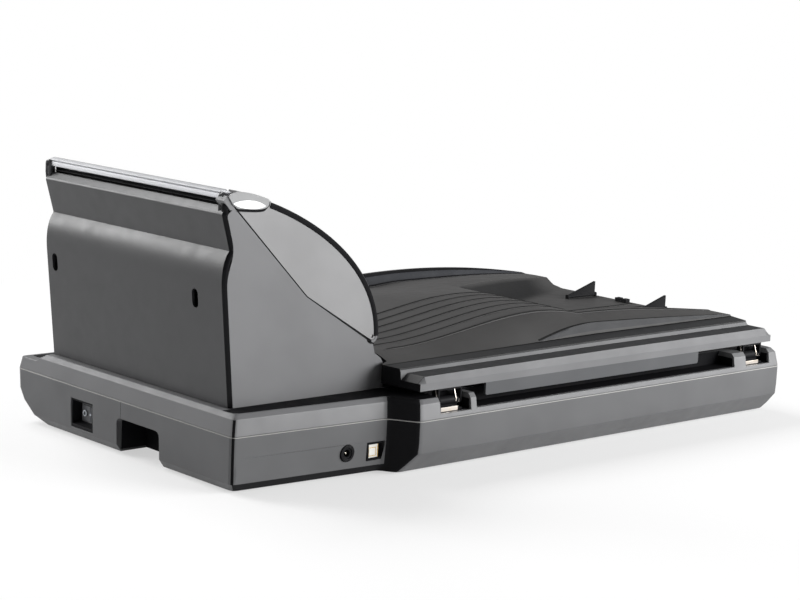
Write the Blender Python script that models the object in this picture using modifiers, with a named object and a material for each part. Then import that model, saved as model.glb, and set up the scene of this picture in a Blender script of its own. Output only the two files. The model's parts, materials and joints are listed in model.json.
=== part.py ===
"""Flatbed scanner with a hinged lid and a side document feeder.

Metres, +Z up. +X points to the feeder end, +Y to the hinges at the rear. The origin is on the floor, under the
middle of the machine. Shapes are built from the shell's underside upwards, and a root empty lifts them all by the
height of the feet.
"""

import math

import bmesh
import bpy
from mathutils import Matrix, Vector

MM = 0.001
DEG = math.radians(1)
SHARP = 30 * DEG

# Running and seating gaps
GAP = 0.3 * MM
RUN = 0.08 * MM
OVER = 5.0 * MM
WELD = 0.005 * MM

# Base: plan and heights
WIDTH = 588.4 * MM
DEPTH = 322.0 * MM
FEEDER_BACK_FROM_REAR = 32.3 * MM
FEEDER_BACK_SLANT_SHARE = 0.0691
FLATBED_END_FROM_END = 139.5 * MM
FLATBED_END_RUN = 13.9 * MM
SEAM_Z = 41.2 * MM
DECK_Z = 57.3 * MM
WALL = 2.6 * MM
SKIN = 3.0 * MM
CORNER_R = 4.0 * MM
FRONT_BEVEL = 36.0 * MM
REAR_BEVEL = 14.4 * MM
END_BEVEL = 5.0 * MM
FAR_BEVEL = 1.5 * MM
DRAFT = 0.6 * MM
BEVEL_Z = 25.0 * MM
SHELL_Z_SHARES = (0.0, 0.24, 0.64, 1.0)
FRONT_SHARES = (1.0, 0.6, 0.2, 0.04)
REAR_SHARES = (1.0, 0.62, 0.04, 0.0)
END_SHARES = (1.0, 0.15, 0.08, 0.0)
FRAME_TAPER = 5.2 * MM
FRAME_Z_SHARES = (0.0, 0.12, 0.78, 1.0)
FRAME_TAPER_SHARES = (0.0, 0.06, 0.42, 1.0)
LEDGE_Z = 51.0 * MM
LEDGE_FROM_FRONT = 25.0 * MM
LEDGE_RAMP = 10.0 * MM

# Base: grip notch, switch, sockets and feet
GRIP_Y = 10.0 * MM
GRIP_WIDTH = 56.0 * MM
GRIP_DEPTH = 29.0 * MM
GRIP_Z = 27.3 * MM
GRIP_R = 5.0 * MM
SWITCH_FROM_FRONT = 94.5 * MM
SWITCH_Z = 19.4 * MM
SWITCH_WIDTH = 30.5 * MM
SWITCH_HEIGHT = 23.4 * MM
SWITCH_DEPTH = 20.0 * MM
SWITCH_RECESS = 9.0 * MM
SWITCH_WALL = 1.5 * MM
ROCKER_WIDTH = 18.0 * MM
ROCKER_HEIGHT = 12.6 * MM
ROCKER_FACE = 6.0 * MM
ROCKER_BACK = 2.0 * MM
ROCKER_DIP = 1.4 * MM
ROCKER_TILT = 6.0 * DEG
ROCKER_PIN_R = 1.0 * MM
JACK_FROM_END = 103.4 * MM
JACK_Z = 18.2 * MM
JACK_R = 6.2 * MM
JACK_BORE_R = 2.9 * MM
JACK_DEPTH = 14.0 * MM
JACK_PIN_R = 0.9 * MM
PORT_FROM_END = 130.2 * MM
PORT_Z = 17.2 * MM
PORT_WIDTH = 16.0 * MM
PORT_HEIGHT = 13.4 * MM
PORT_DEPTH = 16.0 * MM
PORT_WALL = 1.4 * MM
PORT_TONGUE_WIDTH = 5.6 * MM
PORT_TONGUE_HEIGHT = 2.4 * MM
FOOT_R = 8.0 * MM
FOOT_HEIGHT = 1.5 * MM
FOOT_SEAT = 1.0 * MM
FOOT_FROM_END = 32.2 * MM
FOOT_FRONT_FROM_FRONT = 55.0 * MM
FOOT_REAR_FROM_REAR = 55.0 * MM

# Platen, carriage and its drive
GLASS_MIN_FROM_FAR = 49.2 * MM
GLASS_MAX_FROM_END = 234.2 * MM
GLASS_MIN_FROM_FRONT = 43.0 * MM
GLASS_MAX_FROM_REAR = 59.0 * MM
GLASS_LAP = 5.0 * MM
GLASS_T = 3.0 * MM
ROD_Y = -10.0 * MM
ROD_Z = 19.0 * MM
ROD_R = 3.0 * MM
ROD_POST_FROM_END = 198.2 * MM
ROD_POST_T = 5.0 * MM
CARRIAGE_FROM_END = 254.2 * MM
CARRIAGE_WIDTH = 28.0 * MM
IDLER_FROM_FAR = 22.2 * MM
CARRIAGE_OVERHANG = 5.0 * MM
CARRIAGE_LOW_Z = 29.0 * MM
CARRIAGE_TOP_Z = 49.6 * MM
SLIDER_R = 6.5 * MM
LENS_WIDTH = 12.0 * MM
LENS_DEPTH = 4.0 * MM
BELT_Y = 24.0 * MM
BELT_Z = 22.0 * MM
BELT_HEIGHT = 5.0 * MM
BELT_T = 1.0 * MM
PULLEY_R = 6.0 * MM
FLANGE_R = 7.4 * MM
FLANGE_T = 1.0 * MM
SPINDLE_R = 2.0 * MM
MOTOR_FROM_END = 194.2 * MM
MOTOR_R = 17.0 * MM
MOTOR_TOP_Z = 16.0 * MM
CLAMP_WIDTH = 12.0 * MM
BOARD_MIN_FROM_END = 129.2 * MM
BOARD_MAX_FROM_END = 42.2 * MM
BOARD_MIN_FROM_REAR = 117.0 * MM
BOARD_MAX_FROM_REAR = 55.0 * MM
BOARD_Z = 7.5 * MM
BOARD_T = 1.6 * MM
BOARD_POST_R = 2.5 * MM
BOARD_INSET = 6.0 * MM
CHIP_SIDE = 18.0 * MM
CHIP_T = 2.2 * MM

# Control panel on the front ledge
PANEL_MIN_FROM_END = 129.2 * MM
PANEL_MAX_FROM_END = 11.2 * MM
PANEL_MIN_FROM_FRONT = 6.5 * MM
PANEL_MAX_FROM_FRONT = 21.5 * MM
PANEL_T = 1.8 * MM
PANEL_PROUD = 0.3 * MM
KEY_R = 4.6 * MM
KEY_T = 2.0 * MM
KEY_TRAVEL = 1.2 * MM
KEY_FLOOR = 0.2 * MM
KEY_X_SHARES = {"power_key": 0.12, "menu_key": 0.62, "scan_key": 0.82}

# Lid hinges
HINGE_FROM_REAR = 12.0 * MM
HINGE_Z = 52.0 * MM
HINGE_LEFT_FROM_END = 191.0 * MM
HINGE_RIGHT_FROM_FAR = 30.2 * MM
HINGE_PIN_R = 1.6 * MM
POCKET_HALF = 16.0 * MM
POCKET_Z = 45.0 * MM
RECESS_Z = 45.8 * MM
RECESS_FRONT_FROM_REAR = 20.0 * MM
RECESS_MIN_FROM_FAR = 62.2 * MM
RECESS_MAX_FROM_END = 213.2 * MM
EAR_SPAN = 25.0 * MM
EAR_T = 1.6 * MM
EAR_R = 3.6 * MM
KNUCKLE_R = 3.4 * MM
KNUCKLE_LENGTH = 20.0 * MM
BRACKET_T = 1.5 * MM
LEAF_T = 1.6 * MM
LEAF_DEPTH = 12.0 * MM

# Lid outline and its terraces
LID_MIN_FROM_FAR = 7.5 * MM
LID_MAX_FROM_END = 153.8 * MM
LID_BACK_FROM_REAR = 6.4 * MM
LID_FRONT_FROM_FRONT = 6.4 * MM
LID_Z = 63.0 * MM
LID_EDGE_Z = 68.7 * MM
LID_BEVEL_X = 6.7 * MM
LID_BEVEL_Y = 2.5 * MM
LID_CORNER_RUN = 3.7 * MM
TERRACE_LOW_Z = 74.6 * MM
TERRACE_HIGH_Z = 79.5 * MM
TERRACE_RUN = 2.1 * MM
TERRACE_LOW_DEPTH = 17.6 * MM
TERRACE_HIGH_DEPTH = 17.0 * MM
SKIRT_MIN_FROM_FAR = 105.7 * MM
SKIRT_MAX_FROM_END = 227.2 * MM
SKIRT_T = 2.4 * MM
SKIRT_Z = 52.7 * MM

# Lid top: the output tray
EXIT_Z = 83.8 * MM
HUMP_START_FROM_END = 182.2 * MM
HUMP_PEAK_FROM_FAR = 249.2 * MM
HUMP_PEAK_Z = 101.0 * MM
CREST_FROM_FAR = 196.2 * MM
CREST_Z = 94.5 * MM
DROP_RUN = 26.0 * MM
FAR_TOP_Z = 81.5 * MM
TRAY_FLOOR_Z = 73.3 * MM
TRAY_WALL_RUN = 20.0 * MM
TRAY_BACK_FROM_REAR = 76.0 * MM
TRAY_FRONT_FROM_FRONT = 91.0 * MM
TRAY_FLARE = 51.0 * MM
SHOULDER_RUN = 28.0 * MM
LENS_TIP_FROM_FAR = 261.2 * MM
LENS_PEAK_FROM_FAR = 170.2 * MM
LENS_PEAK_Z = 88.2 * MM
LENS_RISE_POWER = 0.6
LENS_FALL_POWER = 1.5
LENS_FACE_SLOPE = 1.7
RIM_TOP_Z = 95.7 * MM
RIM_PEAK_FROM_FAR = 184.2 * MM
RIM_FOOT_Z = 82.0 * MM
RIM_OUT_FROM_FRONT = 9.5 * MM
RIM_WIDTH = 3.2 * MM
RIM_SLOPE_RUN = 3.0 * MM
FRONT_SLOPE_RUN = 55.0 * MM
RIB_COUNT = 7
RIB_FIRST_Y = 0.5 * MM
RIB_MARGIN = 21.9 * MM
RIB_HALF = 0.9 * MM
RIB_HEIGHT = 1.1 * MM
LID_SIDE = 4.6 * MM
PAN_T = 2.0 * MM
PAN_LEDGE = 6.0 * MM
HUMP_ROOF = 5.0 * MM
TRAY_ROOF = 3.6 * MM
MAT_T = 4.6 * MM
MAT_LAP = 8.0 * MM

# Paper stops and clip on the tray floor
STOP_LENGTH = 35.0 * MM
STOP_HEIGHT = 12.5 * MM
STOP_T = 2.4 * MM
STOP_FROM_FAR = 54.2 * MM
STOP_Y_SHARES = {"rear": 0.24224, "front": -0.31056}
STOP_BARREL_R = 1.6 * MM
STOP_BARREL = 8.0 * MM
STOP_PIN_R = 0.7 * MM
STOP_LUG_T = 2.0 * MM
CLIP_Y = -12.8 * MM
CLIP_WIDTH = 14.0 * MM
CLIP_DEPTH = 6.0 * MM
CLIP_HEIGHT = 3.4 * MM
CLIP_SLOT = 3.0 * MM

# Feeder tower: outline seen from the rear, as X and Z
TOWER_BACK_FROM_REAR = 52.0 * MM
TOWER_FRONT_FROM_FRONT = 33.0 * MM
TOWER_FROM_END = 150.6 * MM
COVER_T = 2.5 * MM
COVER_FOOT_FROM_END = 11.7 * MM
COVER_BULGE_FROM_END = 2.6 * MM
COVER_BULGE_RISE_SHARE = 0.60088
COVER_WAIST_FROM_END = 8.7 * MM
COVER_WAIST_RISE_SHARE = 0.73099
COVER_FLARE_FROM_END = 0.8 * MM
COVER_FLARE_BELOW_TOP = 15.6 * MM
COVER_LIP_FROM_END = 6.2 * MM
COVER_LIP_BELOW_TOP = 10.8 * MM
COVER_R = 7.0 * MM
SIDE_T = 2.5 * MM
HOLE_FRONT_FROM_FACE = 7.7 * MM
HOLE_REAR_FROM_BACK = 40.9 * MM
HOLE_RISE_SHARE = 0.49089
HOLE_WIDTH = 7.4 * MM
HOLE_HEIGHT = 15.0 * MM
KNEE_FROM_END = 80.6 * MM
KNEE_RISE_SHARE = 0.49089
MOUTH_FROM_END = 10.2 * MM
MOUTH_BELOW_TOP = 10.3 * MM
EXIT_TIP_FROM_END = 148.1 * MM
EXIT_TIP_Z = 93.7 * MM
SIDE_FOOT_Z = 84.5 * MM
SPLIT = 0.5 * MM
HORN_WIDTH = 9.8 * MM
HORN_TIP_FROM_END = 0.2 * MM
HORN_TIP_BELOW_TOP = 2.4 * MM
HORN_T = 3.4 * MM
SLOT_POST_BELOW_TOP = 6.0 * MM

# Feeder door
DOOR_AXIS_FROM_END = 147.0 * MM
DOOR_AXIS_Z = 99.3 * MM
DOOR_END_R = 5.6 * MM
DOOR_TOP_FROM_END = 11.5 * MM
DOOR_TOP_Z = 216.4 * MM
DOOR_TOP_SLOPE = 12.0 * DEG
DOOR_TOP_REACH = 63.0 * MM
DOOR_FOOT_REACH = 61.0 * MM
DOOR_END_TURN = 100.0 * DEG
DOOR_OPEN = 50.0 * DEG
EAR_MARGIN = 8.0 * DEG
DOOR_T = 2.6 * MM
DOOR_STEPS = 14
DOOR_ROD_R = 1.3 * MM
DOOR_EAR_R = 2.6 * MM
DOOR_FOOT_CLEAR = 5.0 * MM
TRIM_WIDTH = 6.4 * MM
TRIM_HEIGHT = 7.2 * MM
TRIM_R = 1.8 * MM
TRIM_BACK_FROM_BACK = 10.6 * MM
TRIM_FRONT_FROM_FACE = 1.6 * MM
LATCH_TIP_FROM_END = 43.7 * MM
LATCH_TIP_BELOW_TOP = 8.2 * MM
LATCH_DROP = 12.0 * MM
LATCH_FRONT_FROM_BACK = 9.4 * MM
LATCH_PROUD = 1.2 * MM
LATCH_EYE_R = 3.0 * MM
LATCH_BELLY_SHARE = 0.4

# Inside the feeder
FRAME_T = 1.5 * MM
FRAME_BACK_FROM_BACK = 6.0 * MM
FRAME_FRONT_FROM_FACE = 9.5 * MM
FRAME_END_FROM_END = 19.2 * MM
FRAME_MIN_FROM_END = 145.4 * MM
GUIDE_T = 2.2 * MM
GUIDE_DROP = 2.0 * MM
GUIDE_TOP_FROM_END = 11.2 * MM
THROAT_FROM_END = 143.7 * MM
THROAT_Z = 88.5 * MM
SILL_Z = 84.9 * MM
GUIDE_WALL_FROM_END = 150.0 * MM
DOOR_GUIDE_LIFT = 1.8 * MM
DOOR_GUIDE_TOP_FROM_END = 18.2 * MM
WEB_T = 2.0 * MM
WEB_FROM_BACK = 14.5 * MM
SHAFT_END = 1.0 * MM
WEB_HEIGHT = 14.0 * MM
SHAFT_R = 3.0 * MM
FEED_FROM_END = 36.2 * MM
FEED_R = 12.0 * MM
FEED_TYRE_WIDTH = 26.0 * MM
UPPER_FEED_R = 9.6 * MM
UPPER_FEED_WIDTH = 24.0 * MM
EXIT_FROM_END = 128.2 * MM
EXIT_R = 8.0 * MM
EXIT_IDLER_R = 6.4 * MM
ROLL_WIDTH = 18.0 * MM
ROLL_Y_SHARE = 0.21941
DOOR_SHAFT_R = 2.0 * MM
NIP = 0.15 * MM
FEED_BELT_FROM_FACE = 5.4 * MM
FEED_BELT_WIDTH = 2.6 * MM
FEED_PULLEY_R = 6.0 * MM
FEED_BELT_T = 0.9 * MM
FEED_MOTOR_FROM_END = 59.2 * MM
FEED_MOTOR_Z = 88.0 * MM
FEED_MOTOR_R = 15.0 * MM
FEED_MOTOR_LENGTH = 24.0 * MM
FEED_MOTOR_SHAFT_R = 1.5 * MM
SCAN_FROM_END = 98.2 * MM
SCAN_WIDTH = 15.0 * MM
SCAN_DEPTH = 12.0 * MM
ARC_STEPS = 24

# Places, each from the outline it keeps with

HALF_W = WIDTH / 2
HALF_D = DEPTH / 2
TOWER_BACK_Y = HALF_D - TOWER_BACK_FROM_REAR
TOWER_FRONT_Y = TOWER_FRONT_FROM_FRONT - HALF_D
FLATBED_END_X = HALF_W - FLATBED_END_FROM_END
JACK_X = HALF_W - JACK_FROM_END
PORT_X = HALF_W - PORT_FROM_END
FOOT_X = HALF_W - FOOT_FROM_END
GLASS_MAX_X = HALF_W - GLASS_MAX_FROM_END
ROD_POST_X = HALF_W - ROD_POST_FROM_END
CARRIAGE_X = HALF_W - CARRIAGE_FROM_END
MOTOR_X = HALF_W - MOTOR_FROM_END
BOARD_MIN_X = HALF_W - BOARD_MIN_FROM_END
BOARD_MAX_X = HALF_W - BOARD_MAX_FROM_END
PANEL_MIN_X = HALF_W - PANEL_MIN_FROM_END
PANEL_MAX_X = HALF_W - PANEL_MAX_FROM_END
RECESS_MAX_X = HALF_W - RECESS_MAX_FROM_END
LID_MAX_X = HALF_W - LID_MAX_FROM_END
SKIRT_MAX_X = HALF_W - SKIRT_MAX_FROM_END
HUMP_START_X = HALF_W - HUMP_START_FROM_END
TOWER_X = HALF_W - TOWER_FROM_END
COVER_FOOT_X = HALF_W - COVER_FOOT_FROM_END
COVER_BULGE_X = HALF_W - COVER_BULGE_FROM_END
COVER_WAIST_X = HALF_W - COVER_WAIST_FROM_END
COVER_FLARE_X = HALF_W - COVER_FLARE_FROM_END
COVER_LIP_X = HALF_W - COVER_LIP_FROM_END
KNEE_X = HALF_W - KNEE_FROM_END
MOUTH_X = HALF_W - MOUTH_FROM_END
EXIT_TIP_X = HALF_W - EXIT_TIP_FROM_END
HORN_TIP_X = HALF_W - HORN_TIP_FROM_END
DOOR_AXIS_X = HALF_W - DOOR_AXIS_FROM_END
DOOR_TOP_X = HALF_W - DOOR_TOP_FROM_END
LATCH_TIP_X = HALF_W - LATCH_TIP_FROM_END
FRAME_END_X = HALF_W - FRAME_END_FROM_END
FRAME_MIN_X = HALF_W - FRAME_MIN_FROM_END
GUIDE_TOP_X = HALF_W - GUIDE_TOP_FROM_END
THROAT_X = HALF_W - THROAT_FROM_END
GUIDE_WALL_X = HALF_W - GUIDE_WALL_FROM_END
DOOR_GUIDE_TOP_X = HALF_W - DOOR_GUIDE_TOP_FROM_END
FEED_X = HALF_W - FEED_FROM_END
EXIT_X = HALF_W - EXIT_FROM_END
FEED_MOTOR_X = HALF_W - FEED_MOTOR_FROM_END
SCAN_X = HALF_W - SCAN_FROM_END
GLASS_MIN_X = GLASS_MIN_FROM_FAR - HALF_W
RECESS_MIN_X = RECESS_MIN_FROM_FAR - HALF_W
LID_MIN_X = LID_MIN_FROM_FAR - HALF_W
SKIRT_MIN_X = SKIRT_MIN_FROM_FAR - HALF_W
HUMP_PEAK_X = HUMP_PEAK_FROM_FAR - HALF_W
CREST_X = CREST_FROM_FAR - HALF_W
RIM_PEAK_X = RIM_PEAK_FROM_FAR - HALF_W
STOP_X = STOP_FROM_FAR - HALF_W
LENS_TIP_X = LENS_TIP_FROM_FAR - HALF_W
LENS_PEAK_X = LENS_PEAK_FROM_FAR - HALF_W
FEEDER_BACK_Y = HALF_D - FEEDER_BACK_FROM_REAR
FOOT_REAR_Y = HALF_D - FOOT_REAR_FROM_REAR
GLASS_MAX_Y = HALF_D - GLASS_MAX_FROM_REAR
BOARD_MIN_Y = HALF_D - BOARD_MIN_FROM_REAR
BOARD_MAX_Y = HALF_D - BOARD_MAX_FROM_REAR
HINGE_Y = HALF_D - HINGE_FROM_REAR
RECESS_FRONT_Y = HALF_D - RECESS_FRONT_FROM_REAR
LID_BACK_Y = HALF_D - LID_BACK_FROM_REAR
TRAY_BACK_Y = HALF_D - TRAY_BACK_FROM_REAR
LEDGE_Y = LEDGE_FROM_FRONT - HALF_D
SWITCH_Y = SWITCH_FROM_FRONT - HALF_D
FOOT_FRONT_Y = FOOT_FRONT_FROM_FRONT - HALF_D
GLASS_MIN_Y = GLASS_MIN_FROM_FRONT - HALF_D
PANEL_MIN_Y = PANEL_MIN_FROM_FRONT - HALF_D
PANEL_MAX_Y = PANEL_MAX_FROM_FRONT - HALF_D
LID_FRONT_Y = LID_FRONT_FROM_FRONT - HALF_D
RIM_OUT_Y = RIM_OUT_FROM_FRONT - HALF_D
TRAY_FRONT_Y = TRAY_FRONT_FROM_FRONT - HALF_D
TRIM_BACK_Y = TOWER_BACK_Y - TRIM_BACK_FROM_BACK
LATCH_FRONT_Y = TOWER_BACK_Y - LATCH_FRONT_FROM_BACK
FRAME_BACK_Y = TOWER_BACK_Y - FRAME_BACK_FROM_BACK
WEB_Y = TOWER_BACK_Y - WEB_FROM_BACK
TRIM_FRONT_Y = TOWER_FRONT_Y + TRIM_FRONT_FROM_FACE
FRAME_FRONT_Y = TOWER_FRONT_Y + FRAME_FRONT_FROM_FACE
FEED_BELT_Y = TOWER_FRONT_Y + FEED_BELT_FROM_FACE
COVER_FLARE_Z = DOOR_TOP_Z - COVER_FLARE_BELOW_TOP
COVER_LIP_Z = DOOR_TOP_Z - COVER_LIP_BELOW_TOP
MOUTH_Z = DOOR_TOP_Z - MOUTH_BELOW_TOP
HORN_TIP_Z = DOOR_TOP_Z - HORN_TIP_BELOW_TOP
SLOT_POST_Z = DOOR_TOP_Z - SLOT_POST_BELOW_TOP
LATCH_TIP_Z = DOOR_TOP_Z - LATCH_TIP_BELOW_TOP
COVER_BULGE_Z = DECK_Z + (DOOR_TOP_Z - DECK_Z) * COVER_BULGE_RISE_SHARE
COVER_WAIST_Z = DECK_Z + (DOOR_TOP_Z - DECK_Z) * COVER_WAIST_RISE_SHARE
KNEE_Z = DECK_Z + (DOOR_TOP_Z - DECK_Z) * KNEE_RISE_SHARE
HOLE_Z = DECK_Z + (DOOR_TOP_Z - DECK_Z) * HOLE_RISE_SHARE
HINGE_X = {"left": HALF_W - HINGE_LEFT_FROM_END, "right": HINGE_RIGHT_FROM_FAR - HALF_W}
HOLE_Y = {"front": TOWER_FRONT_Y + HOLE_FRONT_FROM_FACE, "rear": TOWER_BACK_Y - HOLE_REAR_FROM_BACK}
STOP_Y = {side: HALF_D * share for side, share in STOP_Y_SHARES.items()}
IDLER_X = IDLER_FROM_FAR - HALF_W
LENS_X = CARRIAGE_X + CARRIAGE_WIDTH / 2
ROLL_Y = (TOWER_BACK_Y - TOWER_FRONT_Y) * ROLL_Y_SHARE

for startup in list(bpy.data.objects):
    bpy.data.objects.remove(startup, do_unlink=True)

parts = bpy.data.collections.new("flatbed_scanner")
cutters = bpy.data.collections.new("cutters")
for group in (parts, cutters):
    bpy.context.scene.collection.children.link(group)


def material(name, colour, roughness, metallic=0.0, alpha=1.0):
    made = bpy.data.materials.new(name)
    made.use_nodes = True
    shader = made.node_tree.nodes["Principled BSDF"]
    shader.inputs["Base Color"].default_value = (*colour, 1.0)
    shader.inputs["Roughness"].default_value = roughness
    shader.inputs["Metallic"].default_value = metallic
    shader.inputs["Alpha"].default_value = alpha
    return made


GREY = material("charcoal_plastic", (0.045, 0.046, 0.05), 0.42)
BLACK = material("black_plastic", (0.012, 0.012, 0.014), 0.4)
STEEL = material("bright_steel", (0.62, 0.6, 0.56), 0.25, 1.0)
SILVER = material("silver_trim", (0.72, 0.73, 0.75), 0.3, 0.8)
RUBBER = material("rubber", (0.03, 0.03, 0.03), 0.85)
WHITE = material("white_foam", (0.85, 0.85, 0.84), 0.8)
GLASS = material("platen_glass", (0.7, 0.78, 0.78), 0.05, 0.0, 0.35)
BOARD = material("circuit_board", (0.02, 0.16, 0.06), 0.5)
BRASS = material("contact_gold", (0.72, 0.52, 0.2), 0.3, 1.0)


# Modelling helpers


def as_object(name, mesh_or_bm, finish, group=None):
    if isinstance(mesh_or_bm, bmesh.types.BMesh):
        mesh = bpy.data.meshes.new(name)
        bmesh.ops.recalc_face_normals(mesh_or_bm, faces=mesh_or_bm.faces)
        mesh_or_bm.to_mesh(mesh)
        mesh_or_bm.free()
    else:
        mesh = mesh_or_bm
    obj = bpy.data.objects.new(name, mesh)
    (group or parts).objects.link(obj)
    if finish:
        mesh.materials.clear()
        mesh.materials.append(finish)
    if group is cutters:
        obj.hide_render = True
        obj.display_type = "WIRE"
    return obj


def box(name, low, high, finish=None, group=None, bevel=0.0):
    """A block between two corners, with rounded edges where a bevel is given."""
    bm = bmesh.new()
    bmesh.ops.create_cube(bm, size=1)
    size = Vector(high) - Vector(low)
    middle = (Vector(high) + Vector(low)) / 2
    bmesh.ops.scale(bm, vec=size, verts=bm.verts)
    if bevel:
        bmesh.ops.bevel(bm, geom=bm.edges[:], offset=bevel, segments=2, profile=0.5, affect="EDGES")
    bmesh.ops.translate(bm, vec=middle, verts=bm.verts)
    return as_object(name, bm, finish, group)


AXES = {
    "X": Matrix(((0, 0, 1), (1, 0, 0), (0, 1, 0))),
    "Y": Matrix(((1, 0, 0), (0, 0, -1), (0, 1, 0))),
    "Z": Matrix.Identity(3),
}


def plate(name, outline, axis, low, high, finish=None, group=None, holes=()):
    """A flat outline, given in the other two axes in X, Y, Z order, between two heights along its axis."""
    curve = bpy.data.curves.new(name, "CURVE")
    curve.dimensions = "2D"
    curve.fill_mode = "BOTH"
    curve.extrude = (high - low) / 2
    for ring in (outline, *holes):
        spline = curve.splines.new("POLY")
        spline.points.add(len(ring) - 1)
        spline.use_cyclic_u = True
        for point, (u, v) in zip(spline.points, ring):
            point.co = (u, v, 0, 1)
    flat = bpy.data.objects.new(name, curve)
    parts.objects.link(flat)
    graph = bpy.context.evaluated_depsgraph_get()
    bm = bmesh.new()
    bm.from_mesh(bpy.data.meshes.new_from_object(flat.evaluated_get(graph)))
    bpy.data.objects.remove(flat, do_unlink=True)
    bmesh.ops.remove_doubles(bm, verts=bm.verts, dist=WELD)
    along = {"X": (1, 0, 0), "Y": (0, 1, 0), "Z": (0, 0, 1)}[axis]
    place = Matrix.Translation(Vector(along) * (low + high) / 2) @ AXES[axis].to_4x4()
    bmesh.ops.transform(bm, matrix=place, verts=bm.verts)
    return as_object(name, bm, finish, group)


def turned(name, profile, axis, centre, finish=None, group=None, ring=False, steps=ARC_STEPS):
    """A profile of (radius, height), from top to bottom down its outer side, turned about an axis."""
    bm = bmesh.new()
    points = [bm.verts.new((r, 0, h)) for r, h in profile]
    for start, end in zip(points, points[1:]):
        bm.edges.new((start, end))
    if ring:
        bm.edges.new((points[-1], points[0]))
    mesh = bpy.data.meshes.new(name)
    bm.to_mesh(mesh)
    bm.free()
    obj = as_object(name, mesh, finish, group)
    obj.location = centre
    obj.rotation_euler = {"X": (0, 90 * DEG, 0), "Y": (-90 * DEG, 0, 0), "Z": (0, 0, 0)}[axis]
    screw = obj.modifiers.new("turn", "SCREW")
    screw.steps = steps
    screw.render_steps = steps
    screw.use_merge_vertices = True
    screw.merge_threshold = WELD
    screw.use_smooth_shade = True
    return obj


def rod(name, radius, low, high, axis, centre, finish=None, group=None, steps=ARC_STEPS):
    """A plain round bar from low to high along its axis, counted from the centre."""
    return turned(name, ((0, high), (radius, high), (radius, low), (0, low)), axis, centre, finish, group, steps=steps)


def boolean(obj, other, operation):
    modifier = obj.modifiers.new(operation.lower(), "BOOLEAN")
    modifier.object = other
    modifier.operation = operation
    modifier.solver = "EXACT"
    if other.name not in cutters.objects:
        for group in other.users_collection:
            group.objects.unlink(other)
        cutters.objects.link(other)
        other.hide_render = True
        other.display_type = "WIRE"
    return obj


def cut(obj, *others):
    for other in others:
        boolean(obj, other, "DIFFERENCE")
    return obj


def join(obj, *others):
    for other in others:
        boolean(obj, other, "UNION")
    return obj


def loft(name, rings, finish=None, group=None):
    """A closed body through rings of the same number of points, capped at both ends."""
    bm = bmesh.new()
    loops = [[bm.verts.new(point) for point in ring] for ring in rings]
    bm.faces.new(loops[0])
    bm.faces.new(loops[-1])
    for lower, upper in zip(loops, loops[1:]):
        for i, corner in enumerate(lower):
            bm.faces.new((lower[i - 1], corner, upper[i], upper[i - 1]))
    return as_object(name, bm, finish, group)


def fillet(points, radius, steps=3):
    """The closed outline with its corners rounded."""
    rounded = []
    for before, corner, after in zip(points[-1:] + points[:-1], points, points[1:] + points[:1]):
        here = Vector(corner)
        back = Vector(before) - here
        ahead = Vector(after) - here
        reach = min(radius, back.length / 2, ahead.length / 2)
        start = here + back.normalized() * reach
        end = here + ahead.normalized() * reach
        for i in range(steps + 1):
            t = i / steps
            rounded.append(tuple((1 - t) ** 2 * start + 2 * t * (1 - t) * here + t * t * end))
    return rounded


def soften(path, radius, steps=4):
    """The open path with its inner corners rounded and its ends kept."""
    rounded = fillet(list(path), radius, steps)
    return [tuple(path[0]), *rounded[steps + 1 : -(steps + 1)], tuple(path[-1])]


def crossing(a, along_a, b, along_b):
    """Where two lines cross, each given by a point and a direction."""
    turn = along_a.x * along_b.y - along_a.y * along_b.x
    apart = b - a
    return a + along_a * ((apart.x * along_b.y - apart.y * along_b.x) / turn)


def inset(points, insets):
    """The closed outline with each edge moved inwards by its own distance. Edge i runs from point i."""
    moved = []
    for i in range(len(points)):
        before, here, after = (Vector(points[(i + k) % len(points)]) for k in (-1, 0, 1))
        into = (here - before).normalized()
        out = (after - here).normalized()
        a = here + Vector((-into.y, into.x)) * insets[i - 1]
        b = here + Vector((-out.y, out.x)) * insets[i]
        moved.append(tuple(crossing(a, into, b, out)))
    return moved


def offset(path, distance):
    """The open path moved to its left by a distance."""
    moved = []
    for i, point in enumerate(path):
        here = Vector(point)
        into = (here - Vector(path[i - 1])).normalized() if i else None
        out = (Vector(path[i + 1]) - here).normalized() if i < len(path) - 1 else None
        into = into or out
        out = out or into
        left = Vector((-into.y - out.y, into.x + out.x)).normalized()
        lean = left.dot(Vector((-into.y, into.x)))
        moved.append(tuple(here + left * distance / lean))
    return moved


def ribbon(path, thickness):
    """The outline of a bent sheet whose right side follows the path."""
    return list(path) + offset(path, thickness)[::-1]


def height_at(path, x):
    """The height of an open path over x, between its points or along its end pieces."""
    pairs = sorted(zip(path, path[1:]), key=lambda pair: min(abs(pair[0][0] - x), abs(pair[1][0] - x)))
    inside = [pair for pair in pairs if min(pair[0][0], pair[1][0]) <= x <= max(pair[0][0], pair[1][0])]
    (a, low), (b, high) = (inside or pairs)[0]
    return blend(low, high, (x - a) / (b - a))


def arc(centre, radius, start, end, steps):
    return [
        (centre[0] + radius * math.cos(start + (end - start) * i / steps),
         centre[1] + radius * math.sin(start + (end - start) * i / steps))
        for i in range(steps + 1)
    ]


def rectangle(low_u, low_v, high_u, high_v):
    return [(low_u, low_v), (high_u, low_v), (high_u, high_v), (low_u, high_v)]


def smooth(t):
    t = min(max(t, 0.0), 1.0)
    return t * t * (3 - 2 * t)


def levelled(t):
    """From a crisp edge at 0, steep at first and level at 1."""
    return math.sin(90 * DEG * min(max(t, 0.0), 1.0))


def blend(a, b, t):
    return a + (b - a) * t


# Base: lower shell and top frame

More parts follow.
